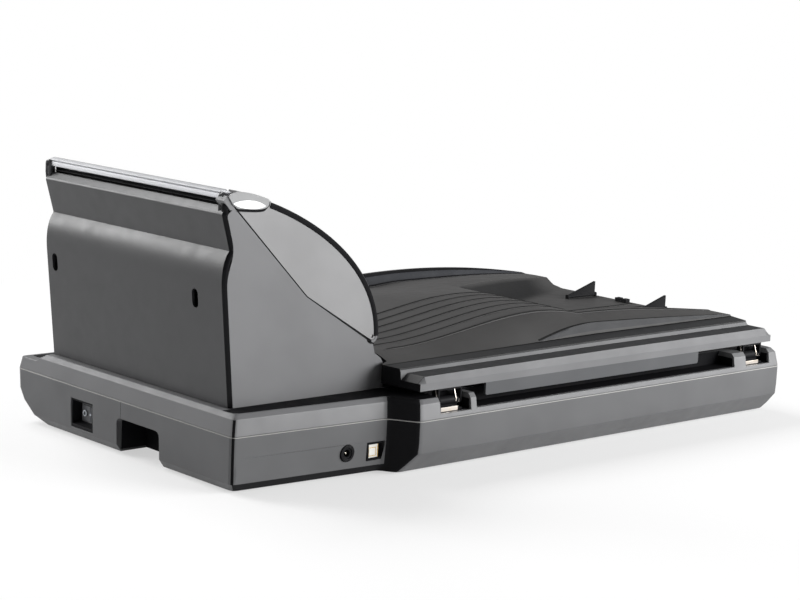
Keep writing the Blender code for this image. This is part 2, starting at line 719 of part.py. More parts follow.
END_RUN = WIDTH / 2 - FLATBED_END_X
PLAN = [
    (-HALF_W, -HALF_D),
    (HALF_W, -HALF_D),
    (HALF_W, FEEDER_BACK_Y),
    (FLATBED_END_X, FEEDER_BACK_Y + END_RUN * FEEDER_BACK_SLANT_SHARE),
    (FLATBED_END_X - FLATBED_END_RUN, HALF_D),
    (-HALF_W, HALF_D),
]


def shell_insets(share_index, extra=0.0):
    """The insets of the plan's edges (front, end, feeder back, flatbed end, rear, far end) at one level."""
    front = FRONT_BEVEL * FRONT_SHARES[share_index] + extra
    rear = REAR_BEVEL * REAR_SHARES[share_index] + extra
    end = END_BEVEL * END_SHARES[share_index] + extra
    far = FAR_BEVEL * END_SHARES[share_index] + extra
    return (front, end, end, extra, rear, far)


def plan_ring(insets, z):
    return [(x, y, z) for x, y in fillet(inset(PLAN, insets), CORNER_R, 2)]


def shell_rings(extra=0.0, floor=0.0, top=SEAM_Z):
    rings = [plan_ring(shell_insets(i, extra), BEVEL_Z * share) for i, share in enumerate(SHELL_Z_SHARES)]
    rings.append(plan_ring((extra,) * len(PLAN), top))
    if floor:
        low = [(x, y, floor) for x, y, _ in plan_ring(shell_insets(0, extra + floor), 0)]
        rings = [low] + [ring for ring in rings if ring[0][2] > floor]
    return rings


shell_top = SEAM_Z - GAP / 2
base_lower_shell = loft("base_lower_shell", shell_rings(top=shell_top), GREY)
cut(base_lower_shell, loft("shell_hollow", shell_rings(WALL, WALL, SEAM_Z + OVER), group=cutters))

grip_low_y = GRIP_Y - GRIP_WIDTH / 2
grip_high_y = GRIP_Y + GRIP_WIDTH / 2
grip_wall_x = HALF_W - GRIP_DEPTH
grip_pod = box(
    "grip_pod",
    (grip_wall_x - WALL, grip_low_y - WALL, WALL / 2),
    (HALF_W - WALL / 2, grip_high_y + WALL, GRIP_Z + WALL),
)
grip_outline = fillet(
    rectangle(grip_low_y, -GRIP_Z, grip_high_y, GRIP_Z), GRIP_R, 3
)
grip_cut = plate("grip_cut", grip_outline, "X", grip_wall_x, HALF_W + OVER, group=cutters)
rod_post = box(
    "rod_post",
    (ROD_POST_X, ROD_Y - ROD_POST_T, WALL / 2),
    (ROD_POST_X + ROD_POST_T, ROD_Y + ROD_POST_T, ROD_Z + ROD_POST_T),
)
idler_post = rod(
    "idler_post", SPINDLE_R, WALL / 2, BELT_Z + BELT_HEIGHT + FLANGE_T, "Z", (IDLER_X, BELT_Y, 0), steps=16
)
join(base_lower_shell, grip_pod, rod_post, idler_post)
board_corners = [
    (x, y)
    for x in (BOARD_MIN_X + BOARD_INSET, BOARD_MAX_X - BOARD_INSET)
    for y in (BOARD_MIN_Y + BOARD_INSET, BOARD_MAX_Y - BOARD_INSET)
]
for i, (x, y) in enumerate(board_corners):
    join(base_lower_shell, rod(f"board_post_{i}", BOARD_POST_R, WALL / 2, BOARD_Z - GAP, "Z", (x, y, 0), steps=8))
cut(base_lower_shell, grip_cut)
switch_window = rectangle(
    SWITCH_Y - SWITCH_WIDTH / 2, SWITCH_Z - SWITCH_HEIGHT / 2, SWITCH_Y + SWITCH_WIDTH / 2, SWITCH_Z + SWITCH_HEIGHT / 2
)
cut(
    base_lower_shell,
    plate("switch_window", switch_window, "X", HALF_W - SWITCH_DEPTH, HALF_W + OVER, group=cutters),
)
back_y_at = {x: FEEDER_BACK_Y + (HALF_W - x) * FEEDER_BACK_SLANT_SHARE for x in (JACK_X, PORT_X)}
cut(
    base_lower_shell,
    rod("jack_window", JACK_R + GAP, -OVER, OVER, "Y", (JACK_X, back_y_at[JACK_X], JACK_Z), group=cutters),
    box(
        "port_window",
        (PORT_X - PORT_WIDTH / 2 - GAP, back_y_at[PORT_X] - OVER, PORT_Z - PORT_HEIGHT / 2 - GAP),
        (PORT_X + PORT_WIDTH / 2 + GAP, back_y_at[PORT_X] + OVER, PORT_Z + PORT_HEIGHT / 2 + GAP),
        group=cutters,
    ),
)
FEET = {
    "foot_front_left": (FOOT_X, FOOT_FRONT_Y),
    "foot_front_right": (-FOOT_X, FOOT_FRONT_Y),
    "foot_rear_left": (FOOT_X, FOOT_REAR_Y),
    "foot_rear_right": (-FOOT_X, FOOT_REAR_Y),
}
for name, (x, y) in FEET.items():
    cut(
        base_lower_shell,
        rod(f"{name}_seat", FOOT_R + GAP, -OVER, FOOT_SEAT, "Z", (x, y, 0), group=cutters, steps=16),
    )
    foot_profile = (
        (0, FOOT_SEAT - GAP),
        (FOOT_R, FOOT_SEAT - GAP),
        (FOOT_R, -FOOT_HEIGHT / 2),
        (FOOT_R - FOOT_HEIGHT / 2, -FOOT_HEIGHT),
        (0, -FOOT_HEIGHT),
    )
    turned(name, foot_profile, "Z", (x, y, 0), RUBBER, steps=16)

frame_low = SEAM_Z + GAP / 2
frame_rise = DECK_Z - frame_low
base_top_frame = loft(
    "base_top_frame",
    [
        plan_ring((FRAME_TAPER * taper,) * len(PLAN), frame_low + frame_rise * rise)
        for rise, taper in zip(FRAME_Z_SHARES, FRAME_TAPER_SHARES)
    ],
    GREY,
)
ledge_back_y = LEDGE_Y + LEDGE_RAMP
under_frame = inset(PLAN, (WALL + HALF_D + ledge_back_y, WALL, WALL, WALL, WALL, WALL))
under_ledge = inset(PLAN, (WALL + FRAME_TAPER, *(WALL + FRAME_TAPER / 2,) * 5))
under_ledge = [(x, min(y, ledge_back_y + WALL)) for x, y in under_ledge]
deck_under_z = DECK_Z - SKIN
cut(
    base_top_frame,
    loft(
        "frame_hollow",
        [
            [(x, y, SEAM_Z - OVER) for x, y in under_frame],
            [(x, y, frame_low + frame_rise * FRAME_Z_SHARES[1]) for x, y in under_frame],
            [(x, y, deck_under_z) for x, y in inset(under_frame, (0.0, *(FRAME_TAPER * 0.7,) * 5))],
        ],
        group=cutters,
    ),
    box(
        "ledge_hollow",
        (-HALF_W + WALL + FRAME_TAPER, -HALF_D + WALL + FRAME_TAPER, SEAM_Z - OVER),
        (HALF_W - WALL - FRAME_TAPER, ledge_back_y + OVER, LEDGE_Z - SKIN),
        group=cutters,
    ),
)
pocket_min_x = HINGE_X["right"] - POCKET_HALF
pocket_max_x = HINGE_X["left"] + POCKET_HALF
join(
    base_top_frame,
    box(
        "rear_block",
        (pocket_min_x - WALL, RECESS_FRONT_Y - WALL, frame_low),
        (pocket_max_x + WALL, HALF_D - FRAME_TAPER, DECK_Z - SKIN / 2),
    ),
)
ledge_profile = [
    (-HALF_D - OVER, LEDGE_Z),
    (LEDGE_Y, LEDGE_Z),
    (ledge_back_y, DECK_Z),
    (ledge_back_y, DECK_Z + OVER),
    (-HALF_D - OVER, DECK_Z + OVER),
]
cut(
    base_top_frame,
    plate("ledge_cut", ledge_profile, "X", -HALF_W - OVER, HALF_W + OVER, group=cutters),
    box(
        "glass_window",
        (GLASS_MIN_X, GLASS_MIN_Y, deck_under_z - OVER),
        (GLASS_MAX_X, GLASS_MAX_Y, DECK_Z + OVER),
        group=cutters,
    ),
    box(
        "skirt_recess",
        (RECESS_MIN_X, RECESS_FRONT_Y, RECESS_Z),
        (RECESS_MAX_X, HALF_D + OVER, DECK_Z + OVER),
        group=cutters,
    ),
    box(
        "panel_seat",
        (PANEL_MIN_X - GAP, PANEL_MIN_Y - GAP, LEDGE_Z + PANEL_PROUD - PANEL_T - GAP),
        (PANEL_MAX_X + GAP, PANEL_MAX_Y + GAP, LEDGE_Z + OVER),
        group=cutters,
    ),
)
for side, x in HINGE_X.items():
    cut(
        base_top_frame,
        box(
            f"{side}_hinge_pocket",
            (x - POCKET_HALF, RECESS_FRONT_Y, POCKET_Z),
            (x + POCKET_HALF, HALF_D + OVER, DECK_Z + OVER),
            group=cutters,
        ),
    )

box(
    "platen_glass",
    (GLASS_MIN_X - GLASS_LAP, GLASS_MIN_Y - GLASS_LAP, deck_under_z - GAP - GLASS_T),
    (GLASS_MAX_X + GLASS_LAP, GLASS_MAX_Y + GLASS_LAP, deck_under_z - GAP),
    GLASS,
)

# Base: scanning carriage, its rod and belt

rod_low_x = -HALF_W + FAR_BEVEL * END_SHARES[1] + WALL + GAP
rod(
    "guide_rod",
    ROD_R,
    rod_low_x,
    ROD_POST_X - GAP,
    "X",
    (0, ROD_Y, ROD_Z),
    STEEL,
    steps=16,
)
carriage_low_x = CARRIAGE_X
carriage_high_x = CARRIAGE_X + CARRIAGE_WIDTH
scan_carriage = box(
    "scan_carriage",
    (carriage_low_x, GLASS_MIN_Y - CARRIAGE_OVERHANG, CARRIAGE_LOW_Z),
    (carriage_high_x, GLASS_MAX_Y + CARRIAGE_OVERHANG, CARRIAGE_TOP_Z),
    BLACK,
)
belt_face_y = BELT_Y - PULLEY_R - BELT_T - GAP
join(
    scan_carriage,
    box(
        "slider",
        (carriage_low_x, ROD_Y - SLIDER_R, ROD_Z - SLIDER_R),
        (carriage_high_x, ROD_Y + SLIDER_R, CARRIAGE_LOW_Z + WALL),
    ),
    box(
        "belt_clamp",
        (LENS_X - CLAMP_WIDTH / 2, belt_face_y - CLAMP_WIDTH / 2 - GAP, BELT_Z - FLANGE_T),
        (LENS_X + CLAMP_WIDTH / 2, belt_face_y - GAP, CARRIAGE_LOW_Z + WALL),
    ),
)
cut(
    scan_carriage,
    rod("slider_bore", ROD_R + RUN, carriage_low_x - OVER, carriage_high_x + OVER, "X", (0, ROD_Y, ROD_Z),
        group=cutters, steps=16),
    box(
        "lens_seat",
        (LENS_X - LENS_WIDTH / 2 - GAP, GLASS_MIN_Y - GAP, CARRIAGE_TOP_Z - LENS_DEPTH),
        (LENS_X + LENS_WIDTH / 2 + GAP, GLASS_MAX_Y + GAP, CARRIAGE_TOP_Z + OVER),
        group=cutters,
    ),
)
box(
    "carriage_lens_bar",
    (LENS_X - LENS_WIDTH / 2, GLASS_MIN_Y, CARRIAGE_TOP_Z - LENS_DEPTH + GAP),
    (LENS_X + LENS_WIDTH / 2, GLASS_MAX_Y, CARRIAGE_TOP_Z),
    GLASS,
)

motor_profile = (
    (0, BELT_Z + BELT_HEIGHT + FLANGE_T),
    (SPINDLE_R, BELT_Z + BELT_HEIGHT + FLANGE_T),
    (SPINDLE_R, MOTOR_TOP_Z),
    (MOTOR_R, MOTOR_TOP_Z),
    (MOTOR_R, WALL + GAP),
    (0, WALL + GAP),
)
turned("carriage_motor", motor_profile, "Z", (MOTOR_X, BELT_Y, 0), STEEL)
groove_low = BELT_Z - GAP
groove_high = BELT_Z + BELT_HEIGHT + GAP
pulley_profile = (
    (FLANGE_R, groove_high + FLANGE_T),
    (FLANGE_R, groove_high),
    (PULLEY_R - GAP, groove_high),
    (PULLEY_R - GAP, groove_low),
    (FLANGE_R, groove_low),
    (FLANGE_R, groove_low - FLANGE_T),
    (SPINDLE_R + RUN, groove_low - FLANGE_T),
    (SPINDLE_R + RUN, groove_high + FLANGE_T),
)
for name, x in (("motor_pulley", MOTOR_X), ("idler_pulley", IDLER_X)):
    turned(name, pulley_profile, "Z", (x, BELT_Y, 0), STEEL, ring=True, steps=16)


def belt_outline(radius):
    near = arc((MOTOR_X, BELT_Y), radius, -90 * DEG, 90 * DEG, 8)
    far = arc((IDLER_X, BELT_Y), radius, 90 * DEG, 270 * DEG, 8)
    return near + far


plate(
    "drive_belt",
    belt_outline(PULLEY_R + BELT_T),
    "Z",
    BELT_Z,
    BELT_Z + BELT_HEIGHT,
    RUBBER,
    holes=(belt_outline(PULLEY_R),),
)

main_board = box(
    "main_board",
    (BOARD_MIN_X, BOARD_MIN_Y, BOARD_Z),
    (BOARD_MAX_X, BOARD_MAX_Y, BOARD_Z + BOARD_T),
    BOARD,
)
for i, share in enumerate((0.25, 0.65)):
    chip_x = blend(BOARD_MIN_X, BOARD_MAX_X, share)
    chip_y = blend(BOARD_MIN_Y, BOARD_MAX_Y, share)
    join(
        main_board,
        box(
            f"chip_{i}",
            (chip_x, chip_y, BOARD_Z + BOARD_T / 2),
            (chip_x + CHIP_SIDE, chip_y + CHIP_SIDE, BOARD_Z + BOARD_T + CHIP_T),
        ),
    )

# Base: power switch and sockets

end_face_x = HALF_W - END_BEVEL * END_SHARES[1]
pivot_x = end_face_x - SWITCH_RECESS - ROCKER_FACE / 2
housing_low_x = end_face_x - SWITCH_DEPTH + GAP
switch_housing = box(
    "switch_housing",
    (housing_low_x, SWITCH_Y - SWITCH_WIDTH / 2 + GAP, SWITCH_Z - SWITCH_HEIGHT / 2 + GAP),
    (end_face_x, SWITCH_Y + SWITCH_WIDTH / 2 - GAP, SWITCH_Z + SWITCH_HEIGHT / 2 - GAP),
    BLACK,
)
mouth_y = SWITCH_WIDTH / 2 - SWITCH_WALL
mouth_z = SWITCH_HEIGHT / 2 - SWITCH_WALL
well_y = ROCKER_WIDTH / 2 + ROCKER_PIN_R
well_z = ROCKER_HEIGHT / 2 + GAP
cut(
    switch_housing,
    loft(
        "switch_mouth",
        [
            [(end_face_x + OVER, SWITCH_Y + y * mouth_y, SWITCH_Z + z * mouth_z) for y, z in
             ((-1, -1), (1, -1), (1, 1), (-1, 1))],
            [(end_face_x - SWITCH_RECESS, SWITCH_Y + y * mouth_y, SWITCH_Z + z) for y, z in
             ((-1, -well_z), (1, -well_z), (1, mouth_z), (-1, mouth_z))],
        ],
        group=cutters,
    ),
    box(
        "switch_well",
        (pivot_x - ROCKER_WIDTH / 4, SWITCH_Y - well_y, SWITCH_Z - well_z),
        (end_face_x, SWITCH_Y + well_y, SWITCH_Z + well_z),
        group=cutters,
    ),
    rod("switch_pin_hole", ROCKER_PIN_R + RUN, -well_z - SWITCH_WALL, well_z + SWITCH_WALL, "Z",
        (pivot_x, SWITCH_Y, SWITCH_Z), group=cutters, steps=12),
)
half_rocker = ROCKER_WIDTH / 2
rocker_outline = [
    (-ROCKER_BACK, -half_rocker),
    (ROCKER_FACE, -half_rocker),
    (ROCKER_FACE - ROCKER_DIP, 0.0),
    (ROCKER_FACE, half_rocker),
    (-ROCKER_BACK, half_rocker),
]
power_rocker = plate("power_rocker", rocker_outline, "Z", -ROCKER_HEIGHT / 2, ROCKER_HEIGHT / 2, BLACK)
power_rocker.location = (pivot_x, SWITCH_Y, SWITCH_Z)
power_rocker.rotation_euler = (0, 0, -ROCKER_TILT)
pin_half = well_z + SWITCH_WALL - GAP
join(
    power_rocker,
    rod("rocker_pin", ROCKER_PIN_R, -pin_half, pin_half, "Z", (pivot_x, SWITCH_Y, SWITCH_Z), steps=12),
)

back_slant = math.atan(FEEDER_BACK_SLANT_SHARE)
jack_profile = (
    (JACK_R, 0),
    (JACK_R, -JACK_DEPTH),
    (0, -JACK_DEPTH),
    (0, -WALL),
    (JACK_PIN_R, -WALL),
    (JACK_PIN_R, -JACK_DEPTH + WALL),
    (JACK_BORE_R, -JACK_DEPTH + WALL),
    (JACK_BORE_R, 0),
)
turned("dc_jack", jack_profile, "Y", (JACK_X, back_y_at[JACK_X] - DRAFT, JACK_Z), BLACK, ring=True)
port_face_y = back_y_at[PORT_X] - DRAFT
usb_port = box(
    "usb_port",
    (PORT_X - PORT_WIDTH / 2, port_face_y - PORT_DEPTH, PORT_Z - PORT_HEIGHT / 2),
    (PORT_X + PORT_WIDTH / 2, port_face_y, PORT_Z + PORT_HEIGHT / 2),
    BRASS,
)
cut(
    usb_port,
    box(
        "port_hollow",
        (PORT_X - PORT_WIDTH / 2 + PORT_WALL, port_face_y - PORT_DEPTH + PORT_WALL, PORT_Z - PORT_HEIGHT / 2 + PORT_WALL),
        (PORT_X + PORT_WIDTH / 2 - PORT_WALL, port_face_y + OVER, PORT_Z + PORT_HEIGHT / 2 - PORT_WALL),
        group=cutters,
    ),
)
join(
    usb_port,
    box(
        "port_tongue",
        (PORT_X - PORT_TONGUE_WIDTH / 2, port_face_y - PORT_DEPTH + PORT_WALL / 2, PORT_Z - PORT_TONGUE_HEIGHT / 2),
        (PORT_X + PORT_TONGUE_WIDTH / 2, port_face_y - PORT_WALL, PORT_Z + PORT_TONGUE_HEIGHT / 2),
    ),
)

# Control panel and its keys

panel_top = LEDGE_Z + PANEL_PROUD
control_panel = box(
    "control_panel",
    (PANEL_MIN_X, PANEL_MIN_Y, panel_top - PANEL_T),
    (PANEL_MAX_X, PANEL_MAX_Y, panel_top),
    BLACK,
)
panel_y = (PANEL_MIN_Y + PANEL_MAX_Y) / 2
key_low = LEDGE_Z + PANEL_PROUD - PANEL_T - GAP + KEY_TRAVEL + KEY_FLOOR
for name, share in KEY_X_SHARES.items():
    key_x = blend(PANEL_MIN_X, PANEL_MAX_X, share)
    cut(
        control_panel,
        rod(f"{name}_hole", KEY_R + GAP, -OVER, OVER, "Z", (key_x, panel_y, panel_top), group=cutters, steps=16),
    )
    key_profile = (
        (0, KEY_T),
        (KEY_R - KEY_T / 4, KEY_T),
        (KEY_R, KEY_T * 3 / 4),
        (KEY_R, 0),
        (0, 0),
    )
    turned(name, key_profile, "Z", (key_x, panel_y, key_low), GREY, steps=16)

# Lid hinges: bracket and pin on the base, leaf on the lid

for side, x in HINGE_X.items():
    half = KNUCKLE_LENGTH / 2
    bracket = box(
        f"hinge_bracket_{side}",
        (x - half, HINGE_Y - KNUCKLE_R * 2, POCKET_Z + GAP),
        (x + half, HALF_D - FRAME_TAPER, POCKET_Z + GAP + BRACKET_T),
        STEEL,
    )
    join(
        bracket,
        box(
            f"{side}_upright",
            (x - half, HINGE_Y - BRACKET_T, POCKET_Z + GAP + BRACKET_T / 2),
            (x + half, HINGE_Y + BRACKET_T, HINGE_Z),
        ),
        rod(f"{side}_knuckle", KNUCKLE_R, -half, half, "X", (x, HINGE_Y, HINGE_Z), steps=16),
    )
    cut(
        bracket,
        rod(f"{side}_knuckle_bore", HINGE_PIN_R + RUN, -half - OVER, half + OVER, "X", (x, HINGE_Y, HINGE_Z),
            group=cutters, steps=16),
    )
    ear_half = EAR_SPAN / 2
    rod(f"hinge_pin_{side}", HINGE_PIN_R, -ear_half - EAR_T, ear_half + EAR_T, "X", (x, HINGE_Y, HINGE_Z), STEEL,
        steps=16)
    leaf_top = LID_Z - GAP
    leaf = box(
        f"hinge_leaf_{side}",
        (x - ear_half, HINGE_Y - LEAF_DEPTH / 2 - EAR_R, leaf_top - LEAF_T),
        (x + ear_half, HINGE_Y + EAR_R, leaf_top),
        STEEL,
    )
    for end, low in (("near", ear_half - EAR_T), ("far", -ear_half)):
        ear = arc((HINGE_Y, HINGE_Z), EAR_R, 180 * DEG, 360 * DEG, 8)
        ear += [(HINGE_Y + EAR_R, leaf_top - LEAF_T / 2), (HINGE_Y - EAR_R, leaf_top - LEAF_T / 2)]
        join(leaf, plate(f"{side}_{end}_ear", ear, "X", x + low, x + low + EAR_T))
    cut(
        leaf,
        rod(f"{side}_leaf_bore", HINGE_PIN_R + RUN, -ear_half - OVER, ear_half + OVER, "X", (x, HINGE_Y, HINGE_Z),
            group=cutters, steps=16),
    )

# Lid shell: its top is the output tray, written as a height over the plan

TERRACE_STEP_Y = LID_BACK_Y - LID_BEVEL_Y - TERRACE_LOW_DEPTH
TRAY_EDGE_Y = TERRACE_STEP_Y - TERRACE_RUN - TERRACE_HIGH_DEPTH
RIB_PITCH = (TRAY_EDGE_Y - RIB_MARGIN - RIB_FIRST_Y) / (RIB_COUNT - 1)
FAR_STEP_X = LID_MIN_X + LID_BEVEL_X
FAR_FLAT_X = FAR_STEP_X + TERRACE_RUN
RIB_YS = [RIB_FIRST_Y + RIB_PITCH * i for i in range(RIB_COUNT)]


def hump_height(x):
    """The crown of the tray along the paper's way: up from the feeder, over the peak and down to the far end."""
    if x > HUMP_PEAK_X:
        return blend(EXIT_Z, HUMP_PEAK_Z, smooth((HUMP_START_X - x) / (HUMP_START_X - HUMP_PEAK_X)))
    if x > CREST_X:
        return blend(HUMP_PEAK_Z, CREST_Z, ((HUMP_PEAK_X - x) / (HUMP_PEAK_X - CREST_X)) ** 2)
    fall = (CREST_X - x) / (CREST_X - FAR_FLAT_X)
    return blend(FAR_TOP_Z, CREST_Z, math.cos(90 * DEG * min(fall, 1.0)))


def rim_height(x):
    """The arched top of the front rim."""
    if x > RIM_PEAK_X:
        return blend(RIM_TOP_Z, EXIT_Z, smooth((x - RIM_PEAK_X) / (LID_MAX_X - RIM_PEAK_X)))
    fall = (RIM_PEAK_X - x) / (RIM_PEAK_X - FAR_FLAT_X)
    return blend(RIM_TOP_Z, FAR_TOP_Z, min(fall, 1.0) ** 2)


def lens_height(x):
    """The crown's rear edge: down on the terrace near the feeder, then arched over the lens-shaped face."""
    if x > LENS_TIP_X:
        return TERRACE_HIGH_Z
    if x > LENS_PEAK_X:
        rise = ((LENS_TIP_X - x) / (LENS_TIP_X - LENS_PEAK_X)) ** LENS_RISE_POWER
        return blend(TERRACE_HIGH_Z, LENS_PEAK_Z, math.sin(90 * DEG * rise))
    fall = min((LENS_PEAK_X - x) / (LENS_PEAK_X - FAR_FLAT_X), 1.0)
    return blend(LENS_PEAK_Z, FAR_TOP_Z, fall ** LENS_FALL_POWER)


def crown_height(x, y):
    """The crown with its shoulder at the rear, cut by the sloping lens face, and its long slope at the front."""
    top = hump_height(x)
    rear = min(max((TRAY_EDGE_Y - y) / SHOULDER_RUN, 0.0), 1.0)
    height = blend(lens_height(x), top, math.sin(90 * DEG * rear))
    height = min(height, TERRACE_HIGH_Z + LENS_FACE_SLOPE * max(TRAY_EDGE_Y - y, 0.0))
    rim_foot_y = RIM_OUT_Y + RIM_WIDTH + RIM_SLOPE_RUN
    front = smooth((y - rim_foot_y) / FRONT_SLOPE_RUN)
    return min(height, blend(min(RIM_FOOT_Z, rim_height(x)), top, front))


def tray_share(x, y):
    """How far the lowered tray floor is reached: 0 on the crown, 1 on the floor."""
    along = levelled((CREST_X - x) / DROP_RUN)
    flare = min(max((CREST_X - x) / (CREST_X - FAR_FLAT_X), 0.0), 1.0)
    front_y = TRAY_FRONT_Y - TRAY_FLARE * flare
    return along * levelled((y - front_y) / TRAY_WALL_RUN) * levelled((TRAY_BACK_Y - y) / TRAY_WALL_RUN)


def top_height(x, y):
    """The lid's top over a point of its plan."""
    if y > TRAY_EDGE_Y + WELD:
        if y > TERRACE_STEP_Y - WELD:
            inner = blend(TERRACE_LOW_Z, LID_EDGE_Z, max(y - LID_BACK_Y + LID_BEVEL_Y, 0.0) / LID_BEVEL_Y)
        else:
            inner = TERRACE_HIGH_Z
        near = (LID_MAX_X - LID_BEVEL_X - x) / TERRACE_RUN
        if near < 1 - WELD:
            inner = min(inner, TERRACE_LOW_Z)
        if near < 0:
            inner = min(inner, blend(TERRACE_LOW_Z, LID_EDGE_Z, (x - LID_MAX_X + LID_BEVEL_X) / LID_BEVEL_X))
    elif y > RIM_OUT_Y + RIM_WIDTH + RIM_SLOPE_RUN - WELD:
        inner = blend(crown_height(x, y), TRAY_FLOOR_Z, tray_share(x, y))
    elif y > RIM_OUT_Y + RIM_WIDTH - WELD:
        slope = (y - RIM_OUT_Y - RIM_WIDTH) / RIM_SLOPE_RUN
        inner = blend(rim_height(x), min(RIM_FOOT_Z, rim_height(x)), max(slope, 0.0))
    elif y > RIM_OUT_Y - WELD:
        inner = rim_height(x)
    else:
        inner = LID_EDGE_Z
    if x < FAR_STEP_X:
        return min(inner, blend(LID_EDGE_Z, TERRACE_LOW_Z, (x - LID_MIN_X) / LID_BEVEL_X))
    if x < FAR_FLAT_X - WELD:
        return min(inner, TERRACE_LOW_Z)
    return inner


def rib_rise(x, y):
    """The low ribs that the paper slides on."""
    if x > HUMP_START_X + RIB_PITCH or x < FAR_FLAT_X + WELD:
        return 0.0
    return RIB_HEIGHT if any(abs(y - rib) < WELD for rib in RIB_YS) else 0.0


def spread(low, high, count):
    return [blend(low, high, i / count) for i in range(count + 1)]


lid_xs = [LID_MIN_X, FAR_STEP_X]
lid_xs += spread(FAR_FLAT_X, CREST_X - DROP_RUN, 6)
lid_xs += spread(CREST_X - DROP_RUN, CREST_X, 4)[1:]
lid_xs += spread(CREST_X, HUMP_START_X + RIB_PITCH, 11)[1:]
lid_xs += [LID_MAX_X - LID_BEVEL_X - TERRACE_RUN, LID_MAX_X - LID_BEVEL_X, LID_MAX_X]
lid_ys = [LID_FRONT_Y, RIM_OUT_Y, RIM_OUT_Y + RIM_WIDTH, RIM_OUT_Y + RIM_WIDTH + RIM_SLOPE_RUN]
lid_ys += spread(lid_ys[-1], RIB_FIRST_Y - RIB_HALF * 2, 10)[1:]
for rib_y in RIB_YS:
    lid_ys += [rib_y - RIB_HALF, rib_y, rib_y + RIB_HALF]
lid_ys += spread(RIB_YS[-1] + RIB_HALF * 2, TRAY_EDGE_Y, 4)
lid_ys += [TERRACE_STEP_Y - TERRACE_RUN, TERRACE_STEP_Y, LID_BACK_Y - LID_BEVEL_Y, LID_BACK_Y]


def corner_shift(x, y):
    """The lid's feeder end leans back towards the rear corner."""
    if x < LID_MAX_X - LID_BEVEL_X - TERRACE_RUN - WELD or y < TRAY_EDGE_Y:
        return 0.0
    return LID_CORNER_RUN * (y - TRAY_EDGE_Y) / (LID_BACK_Y - TRAY_EDGE_Y)


def lid_solid():
    """A grid over the plan, lifted to the top's height and closed down to the lid's underside."""
    bm = bmesh.new()
    columns, rows = len(lid_xs), len(lid_ys)
    bmesh.ops.create_grid(bm, x_segments=columns - 1, y_segments=rows - 1, size=1)
    order = sorted(bm.verts, key=lambda v: (round(v.co.y, 4), v.co.x))
    for i, vert in enumerate(order):
        x, y = lid_xs[i % columns], lid_ys[i // columns]
        vert.co = (x - corner_shift(x, y), y, top_height(x, y) + rib_rise(x, y))
    made = bmesh.ops.extrude_edge_only(bm, edges=[edge for edge in bm.edges if edge.is_boundary])
    for element in made["geom"]:
        if isinstance(element, bmesh.types.BMVert):
            element.co.z = LID_Z
    bmesh.ops.contextual_create(bm, geom=[edge for edge in bm.edges if edge.is_boundary])
    return bm


lid_shell = as_object("lid_shell", lid_solid(), GREY)
pan_low_x = LID_MIN_X + LID_SIDE
pan_high_x = LID_MAX_X - LID_SIDE - LID_CORNER_RUN
pan_low_y = LID_FRONT_Y + LID_SIDE
pan_high_y = LID_BACK_Y - LID_SIDE
pan_top = LID_Z + PAN_T + GAP
roof_max_x = HUMP_START_X
roof_min_x = HUMP_PEAK_X - DROP_RUN
cut(
    lid_shell,
    box("pan_seat", (pan_low_x, pan_low_y, LID_Z - OVER), (pan_high_x, pan_high_y, pan_top), group=cutters),
    box(
        "hump_hollow",
        (roof_min_x, TRAY_FRONT_Y, LID_Z),
        (roof_max_x, TRAY_BACK_Y, EXIT_Z - HUMP_ROOF),
        group=cutters,
    ),
    box(
        "tray_hollow",
        (pan_low_x + PAN_LEDGE, pan_low_y + PAN_LEDGE, LID_Z),
        (roof_min_x - HUMP_ROOF, pan_high_y - PAN_LEDGE, TRAY_FLOOR_Z - TRAY_ROOF),
        group=cutters,
    ),
)
join(
    lid_shell,
    box("skirt", (SKIRT_MIN_X, LID_BACK_Y - SKIRT_T, SKIRT_Z), (SKIRT_MAX_X, LID_BACK_Y, LID_EDGE_Z - SKIRT_T)),
)
box(
    "lid_pan",
    (pan_low_x + GAP, pan_low_y + GAP, LID_Z + GAP / 2),
    (pan_high_x - GAP, pan_high_y - GAP, pan_top - GAP),
    GREY,
)
box(
    "lid_mat",
    (GLASS_MIN_X - MAT_LAP, GLASS_MIN_Y - MAT_LAP, LID_Z - GAP / 2 - MAT_T),
    (GLASS_MAX_X + MAT_LAP, GLASS_MAX_Y + MAT_LAP, LID_Z - GAP / 2),
    WHITE,
)

# Paper stops: flags that fold down sideways between two lugs of the lid

